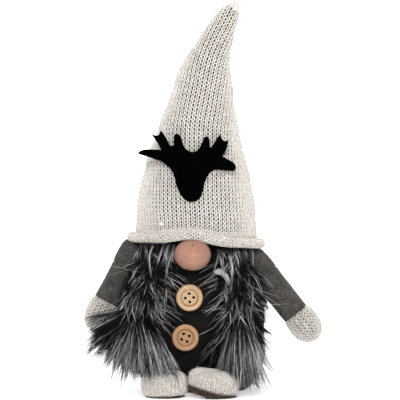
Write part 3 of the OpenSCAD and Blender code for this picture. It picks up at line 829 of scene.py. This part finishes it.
def build_foot(side):
    """A knitted bag over its padding, whose rows run level and close on top under the fur, and its sole."""
    foot = FEET[side]
    form = foot_form(FOOT_ROWS, foot, 1.0, 0.25, 0.5, lump=0.03, seed=90 + (side == "left"))
    under = foot_form(SOLE_ROWS, foot, foot["sole"], 0.1, 0.25)
    pad = surface(f"{side}_foot_pad", form, np.append(np.arange(-8.8, 8.6, 0.6), 9.0), 72, lift=-0.75)
    rows = np.append(np.arange(-8.4, 7.4, 2.5), (8.2, 9.1))
    knit = knit_rows(form, rows, wide=3.2, tall=2.6, yarn_r=0.47, depth=0.14, fixed=32, seed=92)
    count = 3600
    down = fuzz_on(form, count, (-8.0, 8.8), length=2.6, width=0.09, seed=97, lie=0.75)
    sole = surface(f"{side}_plush_sole", under, np.linspace(-11.8, -8.4, 9), 64)
    count = 5200
    plush = fuzz_on(under, count, (-11.7, -8.6), length=4.2, width=0.10, seed=95, droop=0.1, lie=0.5)
    for piece, look, slot, stands_for, fill in (
            (pad, FOOT_PADDING, "foot_knit", (f"{side}_foot_stuffing",), 0.85),
            (strands(f"{side}_foot_knit", *knit), MITTEN_KNIT, "foot_knit", (f"{side}_foot_cover",), None),
            (strands(f"{side}_foot_fuzz", down), YARN_FUZZ, "foot_knit", (), None),
            (sole, SOLE, "sole_plush", (f"{side}_sole",), 0.5),
            (strands(f"{side}_sole_fibres", plush), PLUSH, "sole_plush", (), None)):
        dress(settle(piece, foot, form), look, f"{side}_foot", stands_for)


for side in SIDES:
    build_foot(side)

# ---------------------------------------------------------------- nose

# How far forward of the nose's middle its gathering stitch shows, on top.
STITCH_AT = 8.6
NOSE_END = math.radians(86)


def dimple(s, angle):
    """The dent that the gathering stitch pulls into the nose."""
    around = (angle + math.pi) % TURN - math.pi
    return -1.0 * np.exp(-((s - STITCH_AT) / 0.9) ** 2 - (around / 0.09) ** 2)


def build_nose():
    low, high = box_mm("nose_cover")
    half_w, half_d, half_h = 0.5 * (high - low)
    half_d -= 0.2
    angle = np.linspace(-NOSE_END, NOSE_END, 40)
    cos = np.cos(angle)
    rows = np.column_stack([np.sin(angle) * half_d, cos * (half_w + 0.2), cos * (half_h + 0.1)])
    form = line_tube(rows, 0.5 * (low + high), (0, -1, 0), (1, 0, 0), lump=0.012, seed=12)
    form.data[:, 9:12] = UP
    nose = surface("fleece_nose", form, np.sin(np.linspace(-1.5, 1.5, 90)) * half_d, 120, lift=dimple)
    dress(nose, NOSE, "torso", ("nose_cover", "nose_stuffing"))
    ends = STITCH_AT + np.array([-0.8, -0.3, 0.3, 0.8])
    path, normal = form.at(ends, np.array([0.02, -0.02, 0.02, -0.02]), np.array([-0.9, -0.45, -0.45, -0.9]))
    stitch = sweep(path[None], np.full((1, 4), 0.30), normal[None], 8)
    dress(strands("nose_stitch", stitch), THREAD, "torso")
    count = 7000
    fibres = fuzz_on(form, count, (-6, half_d - 0.1), length=0.8, width=0.04, seed=66, lie=0.45)
    dress(strands("nose_fibres", fibres), NOSE_FUZZ, "torso")


build_nose()

# ---------------------------------------------------------------- moose head

# Moose head from the muzzle up to the top, across and up from the muzzle: one side, then the other.
# The third number is how sharp the outline is there, from 0 for a round bend to 1 for a cut corner.
MOOSE_OUTLINE = np.array([
    (0, 0, 0), (4.6, 1.8, 0), (7.4, 6, 0), (8.8, 12.5, 0), (10.6, 18, 0), (13.5, 22.6, 0), (18, 24.8, 0),
    (25.5, 24.2, 0), (31.2, 23.8, 0.6), (32.9, 26.6, 0.5), (31, 30, 0.5), (22.3, 35, 1), (25.3, 39.5, 0),
    (27.5, 48, 1), (25, 46.4, 0), (22.8, 47.8, 0.6), (21, 51.6, 1), (17.6, 47, 0), (15, 42, 0.5),
    (13.2, 42, 0.5), (13.2, 47, 0), (11.8, 50, 0), (9.2, 49, 0), (7, 44, 0), (4.5, 40, 0), (0, 38, 0),
    (-4.5, 40.5, 0), (-6.8, 44.5, 0), (-8.4, 50, 0), (-11, 52, 0), (-13.6, 50.5, 0), (-13.8, 43, 0.5),
    (-16.5, 43.4, 0.5), (-20, 50, 0), (-23.4, 55, 1), (-25, 51.4, 0), (-27.5, 51, 0), (-30.6, 52.4, 1),
    (-25.6, 45, 0), (-23, 39.7, 1), (-33.5, 40.2, 0), (-38.4, 39.2, 0), (-40.8, 37.3, 1), (-28.5, 33.2, 0),
    (-21.5, 30.3, 0), (-16.5, 26, 0), (-13.8, 21.5, 0), (-11.8, 14, 0), (-9.5, 8, 0), (-6.5, 3.2, 0),
    (-3, 0.7, 0),
])
# Its muzzle's place across, and how it leans back with the hat.
MOOSE_X = -3.0
MOOSE_LEAN = math.radians(13)
MOOSE_THICK = 2.0


def rounded_outline(corners, steps=6):
    """A smooth closed curve through the corners, which keeps the sharp ones."""
    out = []
    for i in range(len(corners)):
        p0, p1, p2, p3 = np.roll(corners, 1 - i, axis=0)[:4]
        m1 = 0.5 * (p2 - p0)[:2] * (1 - p1[2]) + (p2 - p1)[:2] * 0.6 * p1[2]
        m2 = 0.5 * (p3 - p1)[:2] * (1 - p2[2]) + (p2 - p1)[:2] * 0.6 * p2[2]
        for t in np.arange(steps) / steps:
            start, end = 2 * t ** 3 - 3 * t ** 2 + 1, -2 * t ** 3 + 3 * t ** 2
            leave, arrive = t ** 3 - 2 * t ** 2 + t, t ** 3 - t ** 2
            out.append(start * p1[:2] + leave * m1 + end * p2[:2] + arrive * m2)
    return out


def build_moose():
    """A thick felt cut-out with softened edges, which curves back a little with the hat."""
    bm = bmesh.new()
    bm.faces.new([bm.verts.new((x, z, 0)) for x, z in rounded_outline(MOOSE_OUTLINE)]).normal_update()
    bmesh.ops.triangulate(bm, faces=bm.faces[:])
    long_edges = [e for e in bm.edges if e.calc_length() > 5]
    bmesh.ops.subdivide_edges(bm, edges=long_edges, cuts=2, use_grid_fill=False)
    bmesh.ops.triangulate(bm, faces=bm.faces[:])
    top = bmesh.ops.extrude_face_region(bm, geom=bm.faces[:])
    for v in [g for g in top["geom"] if isinstance(g, bmesh.types.BMVert)]:
        v.co.z = MOOSE_THICK
    bmesh.ops.recalc_face_normals(bm, faces=bm.faces[:])
    low, _ = box_mm("moose_applique")
    sin, cos = math.sin(MOOSE_LEAN), math.cos(MOOSE_LEAN)
    for v in bm.verts:
        x, z, out_by = v.co
        bend = 0.0035 * (x - MOOSE_X) ** 2 * 0.55
        y = low[1] + MOOSE_THICK + z * sin - out_by * cos + bend
        v.co = metres((MOOSE_X + x, y, low[2] + 0.4 + z * cos + out_by * sin))
    mesh = bpy.data.meshes.new("moose_felt_head")
    bm.to_mesh(mesh)
    bm.free()
    mesh.polygons.foreach_set("use_smooth", [True] * len(mesh.polygons))
    obj = linked("moose_felt_head", mesh)
    edge = obj.modifiers.new("soft edge", "BEVEL")
    edge.width = 0.5 * MM
    edge.segments = 3
    edge.limit_method = "ANGLE"
    edge.angle_limit = math.radians(60)
    dress(obj, MOOSE, "torso", ("moose_applique",))


build_moose()

# ---------------------------------------------------------------- buttons, ties and stitches

# Each button's pale wood, its growth lines and how they are tilted.
BUTTONS = {
    "upper_button": ((0.54, 0.36, 0.205), (0.49, 0.32, 0.175), 0.35),
    "lower_button": ((0.47, 0.265, 0.13), (0.41, 0.225, 0.105), -0.5),
}
for node, (pale, ring, tilt) in BUTTONS.items():
    wood = wood_material(f"{node}_wood", pale, ring, (0.55, 0.42, 0.3), 0.5 * np.add(*box_mm(node)), tilt)
    dress(frame["nodes"][node], wood)

for side in SIDES:
    dress(frame["nodes"][f"{side}_tie"], CORD)
    dress(frame["nodes"][f"{side}_shoulder_thread"], THREAD)

# ---------------------------------------------------------------- fur

# Each lock: rows of height, middle and half sizes from the brim to the tie, the tuft's reach by direction in
# degrees from straight down, and how its share of bright strands changes with that direction.
LOCKS = {
    "left": dict(
        rows=np.array([
            (112, -29, -33, 9, 5), (106, -30, -37, 11, 6), (97, -32, -39.5, 14.5, 7.5),
            (85, -36.5, -40, 16, 8), (74, -40, -39, 12, 7), (68, -42, -36, 7, 5.2),
            (63.3, -42.7, -35, 4.4, 4.4)]),
        fan=[(-76, 50), (-70, 56), (-62, 60), (-46, 58), (-30, 56), (-12, 62), (10, 64), (30, 62), (42, 50)],
        light=[(-76, 0.1), (-60, 0.25), (-46, 0.7), (-30, 1.2), (-8, 1.5), (8, 1.2), (20, 0.5), (44, 0.35)],
    ),
    "right": dict(
        rows=np.array([
            (108, 24.5, -34, 9, 5), (101.5, 25.5, -38.5, 11.5, 6), (95, 28, -40.5, 14.5, 7.5),
            (85, 32, -42, 15, 8), (74, 34.5, -43, 11.5, 7), (68.5, 33.4, -42.2, 6.4, 5.2),
            (64.5, 33, -42, 4.4, 4.4)]),
        fan=[(-50, 50), (-38, 62), (-24, 58), (-8, 56), (5, 66), (14, 68), (24, 47), (36, 34), (50, 27),
             (66, 21), (84, 17)],
        light=[(-52, 0.9), (-36, 1.5), (-20, 1.1), (-8, 0.3), (2, 0.3), (10, 1.5), (24, 1.5), (34, 0.3),
               (55, 0.3), (70, 1.4)],
    ),
}
# Layers of the upper lock: bunches, how wild, lengths, and then for wisps: strands in each bunch, spread,
# strand radius, share of bright strands, root tones.
UPPER_LAYERS = {
    "dark": (90, 0.35, (14, 26), (33, 1.9, 0.15, 0.01, (0.0, 0.1))),
    "grey": (56, 0.45, (16, 30), (20, 0.9, 0.14, 0.12, (0.0, 0.3))),
    "white": (26, 0.40, (18, 34), (8, 0.65, 0.16, 0.5, (0.2, 0.9))),
    "wild": (26, 0.9, (14, 30), (2, 0.4, 0.16, 1.0, (0.3, 0.9))),
}
# Layers of the tuft: bunches, range of directions in degrees from straight down, shares of the fan's reach,
# how far they rise, and then for wisps as above.
TUFT_LAYERS = {
    "left": {
        "under": (90, (-72, 44), (0.75, 1.0), (0.0, 0.15), 32, 1.8, 0.18, 0.03, (0.0, 0.1)),
        "over": (80, (-72, 42), (0.65, 1.05), (0.1, 0.45), 24, 1.2, 0.16, 0.13, (0.0, 0.1)),
        "light": (110, (-72, 40), (0.75, 1.08), (0.2, 0.6), 3, 0.5, 0.16, 0.5, (0.0, 0.5)),
        "fringe": (34, (-36, 14), (0.9, 1.08), (0.08, 0.25), 20, 1.4, 0.16, 0.42, (0.0, 0.2)),
    },
    "right": {
        "under": (90, (-52, 62), (0.72, 1.0), (0.0, 0.15), 32, 1.8, 0.18, 0.03, (0.0, 0.1)),
        "over": (80, (-50, 56), (0.6, 1.05), (0.1, 0.45), 24, 1.2, 0.16, 0.07, (0.0, 0.1)),
        "light": (96, (-50, 46), (0.7, 1.15), (0.2, 0.6), 3, 0.5, 0.16, 0.5, (0.0, 0.6)),
        "fringe": (44, (3, 26), (0.95, 1.2), (0.05, 0.2), 20, 1.4, 0.16, 0.48, (0.0, 0.2)),
        "streak": (22, (50, 80), (0.75, 1.1), (0.1, 0.35), 4, 0.7, 0.17, 1.0, (0.3, 0.9)),
    },
}
# Bunches that hang over the foot's top and front: their number, and ranges of their ends' x, y and height.
DRAPES = {
    "left": (60, (-39, -9), (-79, -74), (7, 18)),
    "right": (84, (15, 49.5), (-76, -57), (0.5, 15)),
}
# A bright crescent on the right lock where its smooth hair shines: a painted highlight of near-white strands.
SHEEN_CRESCENT = np.array([
    (14.8, -50.5, 91.6), (16.6, -52.4, 92.4), (19.4, -53.2, 91.6), (21.9, -53.3, 89.4), (23.6, -52.9, 86.4),
    (24.4, -52.0, 83.6), (24.2, -50.6, 81.6)])
FUR_GUIDE = np.array([0.11, 0.96, 0.23])


def keep_off_body(points, room, floor):
    """Pushes points inside the body's outline out to its surface, and lifts those below the floor."""
    a, b = (np.interp(points[:, 2], BODY.s, BODY.data[:, c]) + room for c in (12, 13))
    r = np.sqrt((points[:, 0] / a) ** 2 + (points[:, 1] / b) ** 2)
    points[:, :2] *= np.where((r < 1) & (points[:, 2] > 0), 1 / np.maximum(r, 0.3), 1.0)[:, None]
    points[:, 2] = np.maximum(points[:, 2], floor)
    return points


def grow(root, heading, length, steps, local, droop, waver):
    """Paths that leave their roots along heading, sag, waver and lie on the body."""
    path = [root]
    heading = unit(heading)
    swing = local.normal(0, waver, root.shape)
    for _ in range(steps):
        swing = 0.75 * swing + 0.25 * local.normal(0, waver * 1.6, root.shape)
        heading = unit(heading + swing - droop * UP)
        path.append(keep_off_body(path[-1] + heading * (length / steps)[:, None], room=1.4, floor=2.0))
    return np.stack(path, axis=1)


def swayed(paths, local, sway, waves):
    """Paths with a sideways sway that grows along them."""
    along = np.linspace(0, 1, paths.shape[1])
    paths[..., 0] += sway * np.sin(along * waves + local.uniform(0, TURN, (len(paths), 1))) * along
    return paths


def arcs(start, crest, end, points):
    """Paths that arc from start towards crest and down to end."""
    t = np.linspace(0, 1, points)[None, :, None]
    return start[:, None] * (1 - t) ** 2 + 2 * crest[:, None] * t * (1 - t) + end[:, None] * t ** 2


def wisps(guides, local, per, spread, thick, bright, root_tone, pinch=0.3):
    """Fur in bunches: the strands beside each guide path swell from its root and meet towards its tip."""
    groups, n, _ = guides.shape
    per = max(2, int(per * (1.0)))
    each = (groups * per, 1)
    q = np.linspace(0, 1, n)
    along = np.clip(q * local.uniform(0.7, 1.0, (groups, per, 1)), 0, 1) * (n - 1)
    low = np.minimum(along.astype(int), n - 2)
    part = (along - low)[..., None]
    group = np.arange(groups)[:, None, None]
    base = guides[group, low] * (1 - part) + guides[group, low + 1] * part
    width = spread * np.interp(q, [0, 0.25, 0.6, 1], [0.6, 1.0, 1.0 - 0.5 * pinch, 1.0 - pinch])
    away = local.normal(0, 1, (groups, per, 1, 3)) * width[:, None]
    phase = local.uniform(0, TURN, (groups, per, 1, 3))
    wave = 0.35 * spread * np.sin(q[:, None] * 5.0 + phase) * q[:, None]
    paths = (base + away + wave).reshape(-1, n, 3)
    paths[..., 2] = np.maximum(paths[..., 2], 0.6)
    draw = local.uniform(0, 1, (groups, per))
    # The share of bright strands changes from bunch to bunch.
    lit = (draw < np.clip(bright + local.normal(0, 0.28, (groups, 1)) * bright, 0, 1)).reshape(each)
    taper = np.interp(q, [0, 0.15, 0.8, 1.0], [0.7, 1.0, 0.85, 0.10])
    coarse = 1.0
    radii = thick * coarse * local.uniform(0.7, 1.3, each) * taper * np.where(lit, 1.55, 0.95)
    low_tone = local.uniform(*root_tone, each) * np.where(lit, 1.0, 0.6)
    high_tone = np.where(lit, local.uniform(0.70, 1.0, each), local.uniform(0.0, 0.30, each))
    blend = np.clip((q - local.uniform(0.0, 0.35, each)) / 0.45, 0, 1)
    return sweep(paths, radii, FUR_GUIDE, 3, np.clip(low_tone * (1 - blend) + high_tone * blend, 0, 1))


def lock_middle(rows, z):
    """Middle and half sizes of a lock at a height."""
    return [np.interp(z, rows[::-1, 0], rows[::-1, c]) for c in range(1, 5)]


def upper_guides(side, count, wild, lengths, local):
    """Bunch paths that start over the lock's front and sides and run down it, some of them astray."""
    rows = LOCKS[side]["rows"]
    top, tie = rows[0, 0], rows[-1, 0]
    z = tie + 3 + (top - tie - 3) * local.beta(1.2, 0.9, count)
    x, y, a, b = lock_middle(rows, z)
    angle = local.uniform(-math.pi, 0.0, count) + 0.25
    cos, sin = np.cos(angle), np.sin(angle)
    out = np.column_stack([cos, sin, np.zeros(count)])
    root = np.column_stack([x + 0.8 * a * cos, y + 0.8 * b * sin, z])
    x2, y2, _, _ = lock_middle(rows, np.maximum(z - 6, tie))
    along = unit(np.column_stack([x2 - x, y2 - y, np.full(count, -6.0)]))
    heading = along + out * local.uniform(0.0, 0.35 + 0.6 * wild, count)[:, None]
    heading += local.normal(0, wild * 0.6, (count, 3)) * [1, 0.4, 0.5]
    paths = grow(root, heading, local.uniform(*lengths, count), 11, local, droop=0.12, waver=0.12)
    return swayed(paths, local, sway=1.5, waves=6.0)


def bound_lock(side, count, local, width):
    """Strands that run the whole way from under the brim to the tie."""
    rows = LOCKS[side]["rows"]
    steps = 14
    angle = local.uniform(0, TURN, (count, 1))
    depth = np.sqrt(local.uniform(0.15, 1.0, (count, 1)))
    z = np.linspace(rows[0, 0], rows[-1, 0], steps)
    x, y, a, b = lock_middle(rows, z)
    wave = local.normal(0, 0.10, (count, steps)).cumsum(axis=1) * 0.35
    out, turn = depth + wave * 0.2, angle + wave
    paths = np.stack([x + out * a * np.cos(turn), y + out * b * np.sin(turn), z + 0 * wave], axis=2)
    pale = local.uniform(0, 1, count) < 0.2
    shade = np.where(pale, local.uniform(0.4, 0.8, count), local.uniform(0, 0.3, count))
    radii = np.broadcast_to(width * local.uniform(0.7, 1.3, count)[:, None], wave.shape)
    return sweep(paths, radii, FUR_GUIDE, 3, shade[:, None])


def tuft_guides(side, count, angles, reach, lift, local):
    """Bunch paths that burst from under the tie and lie in a fan over the belly."""
    z, x, y = LOCKS[side]["rows"][-1, :3]
    fan = np.array(LOCKS[side]["fan"], float)
    angle = np.linspace(*angles, count) + local.normal(0, 4.0, count)
    far = np.interp(angle, fan[:, 0], fan[:, 1]) * local.uniform(*reach, count)
    turn = local.uniform(0, TURN, count)
    height = z + local.uniform(-1.5, 1.5, count)
    root = np.column_stack([x + 3.0 * np.cos(turn), y + 2.6 * np.sin(turn), height])
    down = np.radians(angle)
    heading = unit(np.column_stack([np.sin(down), -local.uniform(*lift, count), -np.cos(down)]))
    steps = 10
    path = [root]
    swing = local.normal(0, 0.03, (count, 3))
    for _ in range(steps):
        swing = 0.8 * swing + local.normal(0, 0.02, (count, 3))
        heading = unit(heading + swing + np.array([0, 0.10, -0.035]))
        path.append(keep_off_body(path[-1] + heading * (far / steps)[:, None], room=1.6, floor=2.2))
    return np.stack(path, axis=1)


def drape_guides(side, count, x_range, y_range, z_range, local):
    """Bunch paths that arc from the tie, out over the foot and down its front."""
    z, x, y = LOCKS[side]["rows"][-1, :3]
    start = np.array([x, y, z]) + local.normal(0, 1.5, (count, 3))
    across = x_range[0] + np.sort(local.uniform(0, 1, count)) * (x_range[1] - x_range[0])
    end = np.column_stack([across, local.uniform(*y_range, count), local.uniform(*z_range, count)])
    between = 0.35 * start[:, 0] + 0.65 * across
    crest = np.column_stack([between, end[:, 1] + 13, local.uniform(36, 44, count)])
    return swayed(arcs(start, crest, end, 13), local, sway=1.6, waves=4.5)


def curl_guides(side, count, local):
    """Bunch paths that come out from under the brim beside the nose and curl over the top of the lock."""
    out = -1.0 if side == "left" else 1.0
    top = LOCKS[side]["rows"][0, 0]
    aside = local.uniform(15, 42, count)
    root_y = 5.0 - 0.9 * np.sqrt(48.0 ** 2 - aside ** 2)
    crest_y = 0.45 * root_y - 34.0 - local.uniform(0, 5, count)
    start = np.column_stack([out * aside, root_y, np.full(count, top + 1.0)])
    crest_x = out * (aside + local.uniform(-3, 7, count))
    crest = np.column_stack([crest_x, crest_y, top - local.uniform(0, 5, count)])
    end_x = out * (aside + local.uniform(-5, 8, count))
    end = np.column_stack([end_x, crest_y + local.uniform(1, 5, count), top - local.uniform(14, 32, count)])
    return swayed(arcs(start, crest, end, 11), local, sway=1.8, waves=5)


def strays(side, count, local):
    """Single long hairs that cross the belly and the buttons."""
    rows = LOCKS[side]["rows"]
    low, top = rows[-1, 0], rows[0, 0]
    z = local.uniform(low - 2, top - 6, count)
    x, y, _, b = lock_middle(np.vstack([rows, [low - 4, *rows[-1, 1:3], 4, 4]]), z)
    inward = (1.0 if side == "left" else -1.0) * local.uniform(-0.9, 1.6, count)
    heading = np.column_stack([inward, local.uniform(-0.5, 0.1, count), -local.uniform(0.1, 1.2, count)])
    root = np.column_stack([x, y - b * 0.7, z])
    paths = grow(root, heading, local.uniform(18, 38, count), 12, local, droop=0.03, waver=0.05)
    taper = np.interp(np.linspace(0, 1, 13), [0, 0.8, 1], [1, 0.8, 0.1])
    radii = 0.145 * local.uniform(0.7, 1.1, (count, 1)) * taper
    return sweep(paths, radii, FUR_GUIDE, 3, local.uniform(0.75, 1.0, (count, 1)))


def roots(side, length):
    """The bodies and points for fur whose roots are sewn under the brim: the torso, the lock, the lock's top and
    a point the given length below it.
    """
    z, x, y = LOCKS[side]["rows"][0, :3]
    return "torso", f"{side}_hair", metres((x, y, z)), metres((x, y, z - length))


def build_hair(side):
    local = np.random.default_rng(200 if side == "left" else 300)

    def fur(name, body, part, stands_for=()):
        dress(strands(f"{side}_{name}", part), FUR, body, stands_for)

    body = f"{side}_hair"
    core = bound_lock(side, 1600, local, 0.24)
    fur("lock_core", roots(side, 16.0), core, (f"{side}_lock",))
    for name, (count, wild, lengths, strand) in UPPER_LAYERS.items():
        guides = upper_guides(side, count, wild, lengths, local)
        fur(f"lock_{name}", roots(side, 16.0), wisps(guides, local, *strand))
    for name, (count, angles, reach, lift, per, spread, thick, bright, tones) in TUFT_LAYERS[side].items():
        guides = tuft_guides(side, count, angles, reach, lift, local)
        light = np.array(LOCKS[side]["light"])
        bright = bright * np.interp(np.linspace(*angles, count), light[:, 0], light[:, 1])[:, None]
        stands_for = (f"{side}_tuft",) if name == "under" else ()
        fur(f"tuft_{name}", body, wisps(guides, local, per, spread, thick, bright, tones), stands_for)
    drape = drape_guides(side, *DRAPES[side], local)
    drape = wisps(drape, local, per=13, spread=1.2, thick=0.125, bright=0.38, root_tone=(0.0, 0.2))
    fur("tuft_drape", body, drape)
    curls = curl_guides(side, 38, local)
    curls = wisps(curls, local, per=9, spread=0.55, thick=0.14, bright=0.42, root_tone=(0.2, 0.9))
    fur("lock_curls", roots(side, 22.0), curls)
    if side == "right":
        # Near-white strands along the crescent paint the sheen of the smooth hair.
        sheen_strands = wisps(
            SHEEN_CRESCENT[None], local, per=200, spread=0.85, thick=0.11, bright=1.0, root_tone=(0.86, 0.96), pinch=0.35)
        fur("lock_painted_sheen", body, sheen_strands)
    fur("stray_hairs", body, strays(side, 110, local))


for side in SIDES:
    build_hair(side)

# ---------------------------------------------------------------- stage, light and camera

# Each lamp's place, target, size in metres and power in watts.
LAMPS = {
    "key": ((-0.12, -1.35, 0.75), (0, 0, 0.14), 0.5, 13.5),
    "fill": ((1.0, -0.9, 0.3), (0, 0, 0.14), 0.9, 3.5),
    "top": ((0.0, 0.15, 1.3), (0, 0.1, 0), 1.2, 10),
    "backdrop_left": ((-0.95, 0.9, 0.8), (-0.6, 2.4, 0.55), 0.8, 20),
    "backdrop_right": ((0.95, 0.9, 0.8), (0.6, 2.4, 0.55), 0.8, 20),
}
CAMERA_AWAY = 1.5
CAMERA_TARGET = (0.003, 0.0, 0.1452)
FRAME_HEIGHT = 0.3064


def aim(obj, at, target):
    obj.location = at
    obj.rotation_euler = (Vector(target) - Vector(at)).to_track_quat("-Z", "Y").to_euler()


def build_stage():
    """A pale floor that curves up into a pale backdrop."""
    paper = Look("pale_paper", Roughness=0.9, Emission_Color=grey(1), Emission_Strength=0.5)
    tone = paper.noise(paper.coords(), 3, 2, 0.5)
    paper.set({"Base Color": paper.ramp(tone, (0.3, grey(0.86)), (0.7, grey(0.88)))})
    curve = np.linspace(0.1, math.pi / 2, 12)
    depth = np.concatenate([np.linspace(-2.5, 1.4, 12), 1.4 + 0.6 * np.sin(curve), [2.0, 2.0]])
    height = np.concatenate([np.zeros(12), 0.6 - 0.6 * np.cos(curve), [1.5, 3.0]])
    verts = np.array([(x, y, z) for y, z in zip(depth, height) for x in np.linspace(-3, 3, 8)]) / MM
    index = np.arange(len(verts)).reshape(len(depth), -1)
    corners = (index[:-1, :-1], index[:-1, 1:], index[1:, 1:], index[1:, :-1])
    floor = mesh_object("floor", verts, np.stack(corners, axis=-1).reshape(-1, 4))
    floor.data.materials.append(paper.material)


def build_light():
    world = bpy.data.worlds.new("studio")
    bpy.context.scene.world = world
    world.use_nodes = True
    world.node_tree.nodes["Background"].inputs["Color"].default_value = (1, 1, 1, 1)
    world.node_tree.nodes["Background"].inputs["Strength"].default_value = 0.20
    for name, (at, target, size, power) in LAMPS.items():
        data = bpy.data.lights.new(name, "AREA")
        data.shape = "DISK"
        data.size = size
        data.energy = power
        aim(linked(name, data), at, target)
    bpy.context.scene.view_settings.view_transform = "Standard"


def build_camera():
    """Level with the middle of the figure, far enough away that the feet look little larger."""
    data = bpy.data.cameras.new("camera")
    camera = linked("camera", data)
    aim(camera, (CAMERA_TARGET[0], -CAMERA_AWAY, CAMERA_TARGET[2]), CAMERA_TARGET)
    data.sensor_width = 36
    data.lens = data.sensor_width * CAMERA_AWAY / FRAME_HEIGHT
    bpy.context.scene.camera = camera


build_stage()
build_light()
build_camera()
